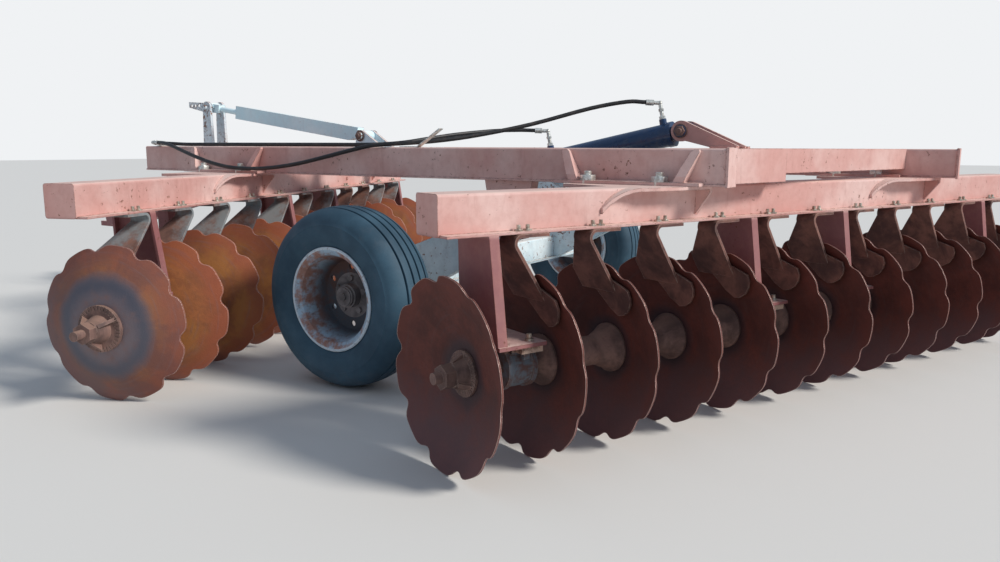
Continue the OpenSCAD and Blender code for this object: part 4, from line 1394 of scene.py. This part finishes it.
@dataclass
class Welds:
    """Weld beads of the frame, the standards and the lugs.

    Attributes:
        finishes: the materials.
        step: length of a bead between two points of its middle line, in metres.
        heavy: radius of the beads of plates that carry a gang.
        light: radius of the beads along the beams' bottom plates.
        beam_wide: width of a main beam, in millimetres.
        beam_front: where its bottom seams end.
        beams: each main beam's left side and rear end.
        clamps: the clamp plates.
        standards: discs that a standard stands beside, counted from 0 at the gang's end.
        last_disc: number of the last disc.
    """

    finishes: Finishes
    step: float = 0.0055
    heavy: float = 0.005
    light: float = 0.0032
    beam_wide: float = 100.0
    beam_front: float = 3138.0
    beams: tuple[tuple[float, float], ...] = ((917, -605.6), (2584, -1302.9))
    clamps: tuple[Clamp, ...] = (
        Clamp(917, -369.4, -150, 500, True, True), Clamp(2584, -1066.7, 22, 500, False, True),
        Clamp(917, 2180.1, -150, 500, True, True), Clamp(2584, 2803.4, -150, 224, True, False))
    standards: tuple[int, ...] = (0, 4, 6, 10)
    last_disc: int = 11

    def build(self) -> None:
        """Lays all beads, one piece for each group."""
        self.lay("welds_clamps", self.clamp_seams(), place)
        self.lay("welds_members", self.member_seams(), place)
        for name, line in (("rear", REAR), ("front", FRONT)):
            self.lay(f"welds_standards_{name}", self.standard_seams(line), self.gang_place(line))

    def gang_place(self, line: GangLine) -> Callable[[float, float, float], Vector]:
        """Gives the function that turns a gang's millimetres into the object frame.

        Args:
            line: the gang.

        Returns:
            The function, of a point's x, y and z.
        """
        matrix = line.matrix()

        def put(x: float, y: float, z: float) -> Vector:
            """Gives a point of the gang in the object frame."""
            return matrix @ Vector((x / 1000.0, y / 1000.0, z / 1000.0 - line.start[2]))

        return put

    def bead(self, start: Vector, end: Vector, radius: float, seed: int) -> Piece:
        """Draws one bead with its ripples.

        Args:
            start: where it starts.
            end: where it ends.
            radius: its radius.
            seed: picks the ripples' phase.

        Returns:
            The bead.
        """
        span = end - start
        count = max(4, int(span.length / self.step))
        points = [start + span * (i / count) for i in range(count + 1)]

        def swell(i: int) -> float:
            """Gives the bead's thickness at a point.

            Args:
                i: number of the point.

            Returns:
                Share of the bead's radius.
            """
            wave = 0.16 * math.sin(i * 2.1 + seed) + 0.08 * math.sin(i * 0.37 + 2.0 * seed)
            end_fade = min(1.0, 0.55 + 0.25 * min(i, count - i))
            return (1.0 + wave) * end_fade

        return sweep("bead", points, radius, 8, swell)

    def lay(self, name: str, seams: Sequence[Seam],
            put: Callable[[float, float, float], Vector]) -> None:
        """Lays a group of beads as one piece on the frame.

        Args:
            name: the piece's name.
            seams: the seams.
            put: turns a seam's millimetres into the object frame.
        """
        beads = [self.bead(put(*seam.start), put(*seam.end), seam.radius, i)
                 for i, seam in enumerate(seams)]
        whole = settle(gather(name, beads), 50.0)
        fit_out(whole, self.finishes.frame, Slot.PAINT, Body.FRAME)

    def standard_seams(self, line: GangLine) -> list[Seam]:
        """Gives the seams at the standards' tops and feet.

        Args:
            line: the gang.

        Returns:
            The seams in the gang's own frame.
        """
        seams = []
        top, foot = 845.0, 469.5
        near, far = (32.0, 72.0) if line is REAR else (-72.0, -32.0)
        for k in self.standards:
            disc = 1000.0 * line.pitch * (k if line is REAR else self.last_disc - k)
            left, right = disc + near, disc + far
            seams += [Seam((side, -86, top), (side, 110, top), self.heavy)
                      for side in (left, right)]
            seams.append(Seam((left, -140, foot), (left, 98, foot)))
        return seams

    def clamp_seams(self) -> list[Seam]:
        """Gives the seams of the clamp plates and gussets on the main beams' left sides.

        Returns:
            The seams in the drawing frame.
        """
        seams = []
        foot, plate, beam, gusset, thick, inset = 1004.0, 6.0, 4.0, 58.0, 48.0, 65.0
        for clamp in self.clamps:
            side, rear, front = clamp.x - plate, clamp.line + clamp.rear, clamp.line + clamp.front
            seams.append(Seam((side, rear + plate, foot), (side, front - plate, foot), self.heavy))
            for there, y in ((clamp.rear_gusset, rear + inset),
                             (clamp.front_gusset, front - inset - thick)):
                if there:
                    seams += [Seam((clamp.x - gusset, face, foot), (clamp.x - beam, face, foot))
                              for face in (y, y + thick)]
        return seams

    def member_seams(self) -> list[Seam]:
        """Gives the seams of the beams' bottom and end plates and of the cylinder's lugs.

        Returns:
            The seams in the drawing frame.
        """
        seams = []
        low, top = 998.0, 1141.0
        for x, rear in self.beams:
            sides = (x - 1, x + self.beam_wide + 1)
            seams += [Seam((side, rear + 4, low), (side, self.beam_front, low), self.light)
                      for side in sides]
            seams += [Seam((side, rear + 1, low + 2), (side, rear + 1, top - 3))
                      for side in sides]
            seams.append(Seam((x + 2, rear + 1, top), (x + self.beam_wide - 2, rear + 1, top)))
        for lug in (1726, 1850):
            seams += [Seam((lug + side, -408, 1150), (lug + side, -292, 1150))
                      for side in (-1, 25)]
        return seams


@dataclass
class Gangs:
    """Discs, spools, shafts and scrapers of both gangs.

    Attributes:
        finishes: the materials.
    """

    finishes: Finishes

    def build(self) -> None:
        """Dresses the gangs' nodes."""
        f = self.finishes
        dress_nodes({"discs_rear": f.rear_discs, "discs_front": f.front_discs,
                     "scrapers_rear": f.blade, "scrapers_front": f.front_blade,
                     "spools_rear": f.cast, "spools_front": f.cast,
                     "gang_shaft_rear": f.cast, "gang_shaft_front": f.cast})


@dataclass
class Wheels:
    """Two implement wheels on the wheel frame.

    Attributes:
        finishes: the materials.
        radius: outer radius of a tyre.
        wide: width of a tyre.
        axle_y: the wheels' axis in the drawing frame, in millimetres.
        groove_shares: middles of the tread grooves, as shares of the width.
        groove_deep: depth of a groove.
        groove_half: half a groove's width at its top.
        half_outline: radius and height of the sidewall, from the rim to the tread.
    """

    finishes: Finishes
    radius: float = 0.434
    wide: float = 0.289
    axle_y: float = 1085.0
    groove_shares: tuple[float, ...] = (0.25, 0.42, 0.58, 0.75)
    groove_deep: float = 0.016
    groove_half: float = 0.0055
    half_outline: tuple[tuple[float, float], ...] = (
        (0.2235, 0.034), (0.232, 0.0285), (0.2485, 0.0262), (0.2525, 0.0215), (0.2585, 0.0178),
        (0.2660, 0.0150), (0.2710, 0.0128), (0.2800, 0.0098), (0.2820, 0.0086), (0.2845, 0.0084),
        (0.2870, 0.0078), (0.3020, 0.0042), (0.3180, 0.0016), (0.3340, 0.0003), (0.3470, 0.0010),
        (0.3490, 0.0000), (0.3520, 0.0002), (0.3545, 0.0018), (0.3680, 0.0040), (0.3830, 0.0094),
        (0.3970, 0.0182), (0.4085, 0.0300), (0.4170, 0.0430), (0.4225, 0.0540))

    def build(self) -> None:
        """Dresses the wheels and their frame and models the tyres."""
        f = self.finishes
        dress_nodes({"rim_left": f.rim, "rim_right": f.rim, "hub_left": f.hub,
                     "hub_right": f.hub, "wheel_frame": f.pale, "crank_plates": f.pale})
        self.tyre("left", 417.0, 90.0)
        self.tyre("right", 3184.0, -90.0)

    def crown(self, height: float) -> float:
        """Gives the tread's radius at a height across the tyre."""
        off = abs(height - self.wide / 2)
        return self.radius - 0.0105 * (off / 0.09) ** 2.2

    def groove(self, middle: float) -> list[tuple[float, float]]:
        """Gives the outline of one tread groove.

        Args:
            middle: height of its middle across the tyre.

        Returns:
            Points (radius, height) from one land over the groove to the next.
        """
        bottom = self.crown(middle) - self.groove_deep
        flanks = []
        for way in (-1.0, 1.0):
            side = middle + way * self.groove_half
            land = side + way * 0.006
            flanks.append([(self.crown(land), land),
                           (self.crown(side) - 0.0004, side + way * 0.0012),
                           (self.crown(side) - 0.0020, side), (bottom, side - way * 0.0018)])
        low, high = flanks
        return low + [(bottom - 0.0008, middle)] + high[::-1]

    def outline(self) -> list[tuple[float, float]]:
        """Gives the tyre's section.

        Returns:
            Points (radius, height) from the outer bead over the tread to the inner bead.
        """
        points = list(self.half_outline)
        for share in self.groove_shares:
            points += self.groove(share * self.wide)
        points += [(r, self.wide - h) for r, h in reversed(self.half_outline)]
        points += [(0.2185, self.wide - 0.046), (0.2185, 0.046)]
        return points

    def tyre(self, side: str, face_x: float, turn: float) -> None:
        """Models one tyre.

        Args:
            side: left or right.
            face_x: its outer face, in the drawing frame.
            turn: turn about Y that lays its axis along X, in degrees.
        """
        piece = lathe(f"tyre_tread_{side}", self.outline(), 144)
        spot = Matrix.Translation(place(face_x, self.axle_y, 1000.0 * self.radius))
        piece.matrix_world = spot @ Matrix.Rotation(math.radians(turn), 4, "Y")
        settle(piece, 28.0)
        fit_out(piece, self.finishes.tyre, Slot.TYRE, Body(f"wheel_{side}"), f"tyre_{side}")


@dataclass(frozen=True)
class Pin:
    """Pin across the machine with a nut on both ends.

    Attributes:
        name: name of its nuts.
        body: body that it belongs to.
        half: half the distance over its lugs.
        y: its y.
        z: its height.
        nut: size of a nut.
    """

    name: str
    body: Body
    half: float
    y: float
    z: float
    nut: Bolt


CYLINDER_PIN = Pin("pin_nuts_cylinder", Body.BARREL, 0.089, -1.779, 1.226,
                   Bolt(0.028, 0.017, 0.037, 0.014, 0.006))
STAY_PIN = Pin("pin_nuts_stay", Body.STAY, 0.079, 0.392, 1.211,
               Bolt(0.026, 0.017, 0.037, 0.014, 0.006))


@dataclass
class Linkage:
    """Lift cylinder, stay and mast.

    Attributes:
        finishes: the materials.
        middle: x of the plane that cylinder and stay lie in.
    """

    finishes: Finishes
    middle: float = 0.217

    def build(self) -> None:
        """Dresses the cylinder, the stay and the mast, and adds the pins' nuts."""
        f = self.finishes
        dress_nodes({"cylinder_barrel": f.navy, "cylinder_ports": f.zinc,
                     "cylinder_rod": f.chrome, "stay_tube": f.stay, "stay_rod": f.stay,
                     "drawbar_mast": f.mast, "stay_lugs": f.lug})
        self.pin_nuts(CYLINDER_PIN)
        self.pin_nuts(STAY_PIN)

    def pin_nuts(self, pin: Pin) -> None:
        """Models the rusty nut and washer on both ends of a pin.

        Args:
            pin: the pin.
        """
        spots = [Matrix.Translation((self.middle + way * pin.half, pin.y, pin.z))
                 @ Matrix.Rotation(way * math.radians(90.0), 4, "Y") for way in (-1.0, 1.0)]
        nuts = repeat(pin.name, pin.nut.model(), spots)
        fit_out(nuts, self.finishes.cast, Slot.CAST, pin.body)


@dataclass(frozen=True)
class HoseRun:
    """One hydraulic hose.

    Attributes:
        node: its CAD node, which it replaces.
        route: middle line in millimetres of the drawing frame, from its fitting on.
    """

    node: str
    route: tuple[Point, ...]


FEED = HoseRun("hose_feed", (
    (1773, 71, 1374), (1751, 105, 1376), (1706, 176, 1377), (1600, 335, 1342), (1400, 575, 1258),
    (1200, 775, 1201), (1060, 905, 1174), (975, 1020, 1162), (918, 1150, 1154), (901, 1230, 1147),
    (889, 1320, 1130), (868, 1520, 1087), (845, 1690, 1052), (833, 1840, 1031), (829, 1980, 1020),
    (829, 2110, 1018), (829, 2240, 1024), (831, 2390, 1045), (840, 2550, 1080), (858, 2700, 1116),
    (884, 2840, 1146), (915, 2960, 1160), (948, 3070, 1162)))
RETURN = HoseRun("hose_return", (
    (1773, 736, 1235), (1751, 770, 1236), (1706, 838, 1237), (1600, 944, 1231), (1400, 1050, 1209),
    (1220, 1110, 1184), (1110, 1175, 1165), (1040, 1270, 1155), (1002, 1400, 1152),
    (985, 1560, 1152), (978, 1740, 1152), (978, 1920, 1152), (978, 2100, 1152), (978, 2280, 1152),
    (978, 2460, 1152), (980, 2640, 1152), (984, 2820, 1152), (988, 2960, 1156), (990, 3080, 1160)))


@dataclass
class Hoses:
    """Two hydraulic hoses from the cylinder to the left beam's front end.

    Attributes:
        finishes: the materials.
        radius: radius of a hose.
        seat: how deep a hose's end sits in its coupler.
        free_points: points of its middle line over which a hose leaves the cylinder.
        coupler_outline: radius and height of the turned coupler, from the hose to its tip.
    """

    finishes: Finishes
    radius: float = 0.011
    # free_points: points of its middle line over which a hose would leave the cylinder; not used.
    seat: float = 0.032
    free_points: int = 16
    coupler_outline: tuple[tuple[float, float], ...] = (
        (0.0, 0.0), (0.0122, 0.0), (0.0138, 0.0015), (0.0138, 0.010), (0.0129, 0.0112),
        (0.0129, 0.0128), (0.0138, 0.014), (0.0138, 0.022), (0.0129, 0.0232), (0.0129, 0.0248),
        (0.0138, 0.026), (0.0138, 0.036), (0.0116, 0.0395), (0.0098, 0.0405), (0.0098, 0.0655),
        (0.0128, 0.0665), (0.0128, 0.081), (0.0122, 0.0822), (0.0104, 0.0832), (0.0104, 0.0888),
        (0.0118, 0.0902), (0.0118, 0.103), (0.0106, 0.1055), (0.0078, 0.1060), (0.0072, 0.1020),
        (0.0, 0.1020))

    def build(self) -> None:
        """Models both hoses."""
        for run in (FEED, RETURN):
            self.hose(run)

    def smooth_route(self, run: HoseRun, between: int = 4) -> list[Vector]:
        """Gives points on one smooth line through a run's route.

        Args:
            run: the hose.
            between: points for each stretch of the route.

        Returns:
            Points in the object frame.
        """
        marks = [place(*mark) for mark in run.route]
        ends = [marks[0] * 2 - marks[1]] + marks + [marks[-1] * 2 - marks[-2]]
        points = []
        for a, b, c, d in zip(ends, ends[1:], ends[2:], ends[3:]):
            for i in range(between):
                t = i / between
                points.append(0.5 * ((2 * b) + (c - a) * t + (2 * a - 5 * b + 4 * c - d) * t * t
                                     + (3 * b - a - 3 * c + d) * t ** 3))
        points.append(marks[-1])
        return points

    def hose(self, run: HoseRun) -> None:
        """Models one hose as a tube along its route.

        Args:
            run: the hose.
        """
        points = self.smooth_route(run)
        tube = sweep(run.node.replace("hose", "line"), points, self.radius, 16)
        coupler = self.coupler(run, points)
        fit_out(tube, self.finishes.hose, Slot.HOSE, stands_for=run.node)
        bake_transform(tube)

    def coupler(self, run: HoseRun, points: Sequence[Vector]) -> Piece:
        """Models the crimped sleeve and the coupler on a hose's far end.

        Args:
            run: the hose.
            points: the hose's middle line.

        Returns:
            The coupler.
        """
        turned = lathe("coupler_turned", self.coupler_outline, 32, closed=False)
        deselect()
        bpy.ops.mesh.primitive_cylinder_add(vertices=6, radius=0.0158, depth=0.019,
                                            location=(0, 0, 0.0535))
        nut = bpy.context.object
        modify(nut, "BEVEL", width=0.0012, segments=2, limit_method="ANGLE")
        whole = gather(run.node.replace("hose", "coupler"), [turned, nut])
        way = (points[-1] - points[-3]).normalized()
        turn = way.to_track_quat("Z", "Y").to_matrix().to_4x4()
        whole.matrix_world = Matrix.Translation(points[-1] - way * self.seat) @ turn
        settle(whole, 30.0)
        fit_out(whole, self.finishes.zinc, Slot.ZINC, Body.FRAME)
        return whole


@dataclass
class Studio:
    """Pale floor, one soft sun, a pale sky and the camera at the photograph's angle.

    Attributes:
        eye: the camera's place in the object frame.
        heading: turn of its view from +Y toward +X, in degrees.
        pitch: how far it looks up, in degrees.
        roll: turn round its line of sight, in degrees.
        focal: focal length in pixels of the photograph.
        width: width of the photograph in pixels.
        floor_size: side of the floor.
        floor_colour: colour of the floor.
        sky_light: colour of the light that the sky gives.
        sky_power: strength of that light.
        sky_seen: colour of the sky in the picture.
        sun_way: direction of the sun's light.
        sun_power: strength of the sun.
        sun_wide: width of the sun in degrees, for soft shadows.
        sun_colour: colour of its light.
    """

    eye: Point = (-3.8418, -3.2384, 1.1448)
    heading: float = 57.47
    pitch: float = -9.49
    roll: float = 0.21
    focal: float = 804.24
    width: float = 1000.0
    floor_size: float = 120.0
    floor_colour: Colour = srgb(226, 222, 216)
    sky_light: Colour = (0.64, 0.79, 1.0, 1.0)
    sky_power: float = 0.42
    sky_seen: Colour = srgb(240, 242, 244)
    sun_way: Point = (-0.15, 0.80, -0.60)
    sun_power: float = 3.1
    sun_wide: float = 14.0
    sun_colour: Point = (1.0, 0.975, 0.93)

    def build(self) -> None:
        """Builds the studio."""
        self.floor()
        self.sky()
        self.sun()
        self.camera()

    def floor(self) -> None:
        """Lays a pale floor just under the ground's plane."""
        deselect()
        bpy.ops.mesh.primitive_plane_add(size=self.floor_size, location=(0, 0, -0.0005))
        plane = bpy.context.object
        plane.name = "studio_floor"
        bpy.ops.object.transform_apply(location=True)
        dress(plane, Graph("studio_floor").finish(self.floor_colour, 0.9))

    def sky(self) -> None:
        """Sets a sky that lights in one colour and shows in another."""
        world = bpy.data.worlds.new("studio_sky")
        bpy.context.scene.world = world
        world.use_nodes = True
        nodes, links = world.node_tree.nodes, world.node_tree.links
        nodes.clear()
        mix = nodes.new("ShaderNodeMixShader")
        links.new(nodes.new("ShaderNodeLightPath").outputs["Is Camera Ray"], mix.inputs[0])
        for socket, colour, power in ((1, self.sky_light, self.sky_power),
                                      (2, self.sky_seen, 1.0)):
            light = nodes.new("ShaderNodeBackground")
            light.inputs["Color"].default_value = colour
            light.inputs["Strength"].default_value = power
            links.new(light.outputs[0], mix.inputs[socket])
        links.new(mix.outputs[0], nodes.new("ShaderNodeOutputWorld").inputs[0])

    def sun(self) -> None:
        """Hangs the sun behind the harrow, to the right."""
        deselect()
        bpy.ops.object.light_add(type="SUN", location=(4, -8, 6))
        key = bpy.context.object
        key.name = "key_lamp"
        key.data.energy = self.sun_power
        key.data.angle = math.radians(self.sun_wide)
        key.data.color = self.sun_colour
        key.rotation_euler = Vector(self.sun_way).to_track_quat("-Z", "Y").to_euler()

    def camera(self) -> None:
        """Sets the camera."""
        yaw, pitch, roll = (math.radians(v) for v in (self.heading, self.pitch, self.roll))
        ahead = Vector((math.sin(yaw) * math.cos(pitch), math.cos(yaw) * math.cos(pitch),
                        math.sin(pitch)))
        right = Vector((math.cos(yaw), -math.sin(yaw), 0.0))
        up = right.cross(ahead)
        right, up = (right * math.cos(roll) + up * math.sin(roll),
                     up * math.cos(roll) - right * math.sin(roll))
        data = bpy.data.cameras.new("photo_camera")
        data.sensor_width = 36.0
        data.lens = self.focal / self.width * data.sensor_width
        data.clip_end = 300.0
        camera = bpy.data.objects.new("photo_camera", data)
        bpy.context.scene.collection.objects.link(camera)
        turn = Matrix((right, up, -ahead)).transposed().to_4x4()
        camera.matrix_world = Matrix.Translation(self.eye) @ turn
        bpy.context.scene.camera = camera


def main() -> None:
    """Builds the harrow around its frame."""
    logging.basicConfig(level=logging.INFO, format="%(name)s: %(message)s")
    bpy.context.scene.view_settings.view_transform = "Standard"
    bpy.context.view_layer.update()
    finishes = Finishes()
    for part in (Studio(), Hoses(finishes), Steelwork(finishes), Welds(finishes), Gangs(finishes),
                 Wheels(finishes), Linkage(finishes)):
        part.build()
        LOG.info("%s built", type(part).__name__)


if __name__ == "__main__":
    main()
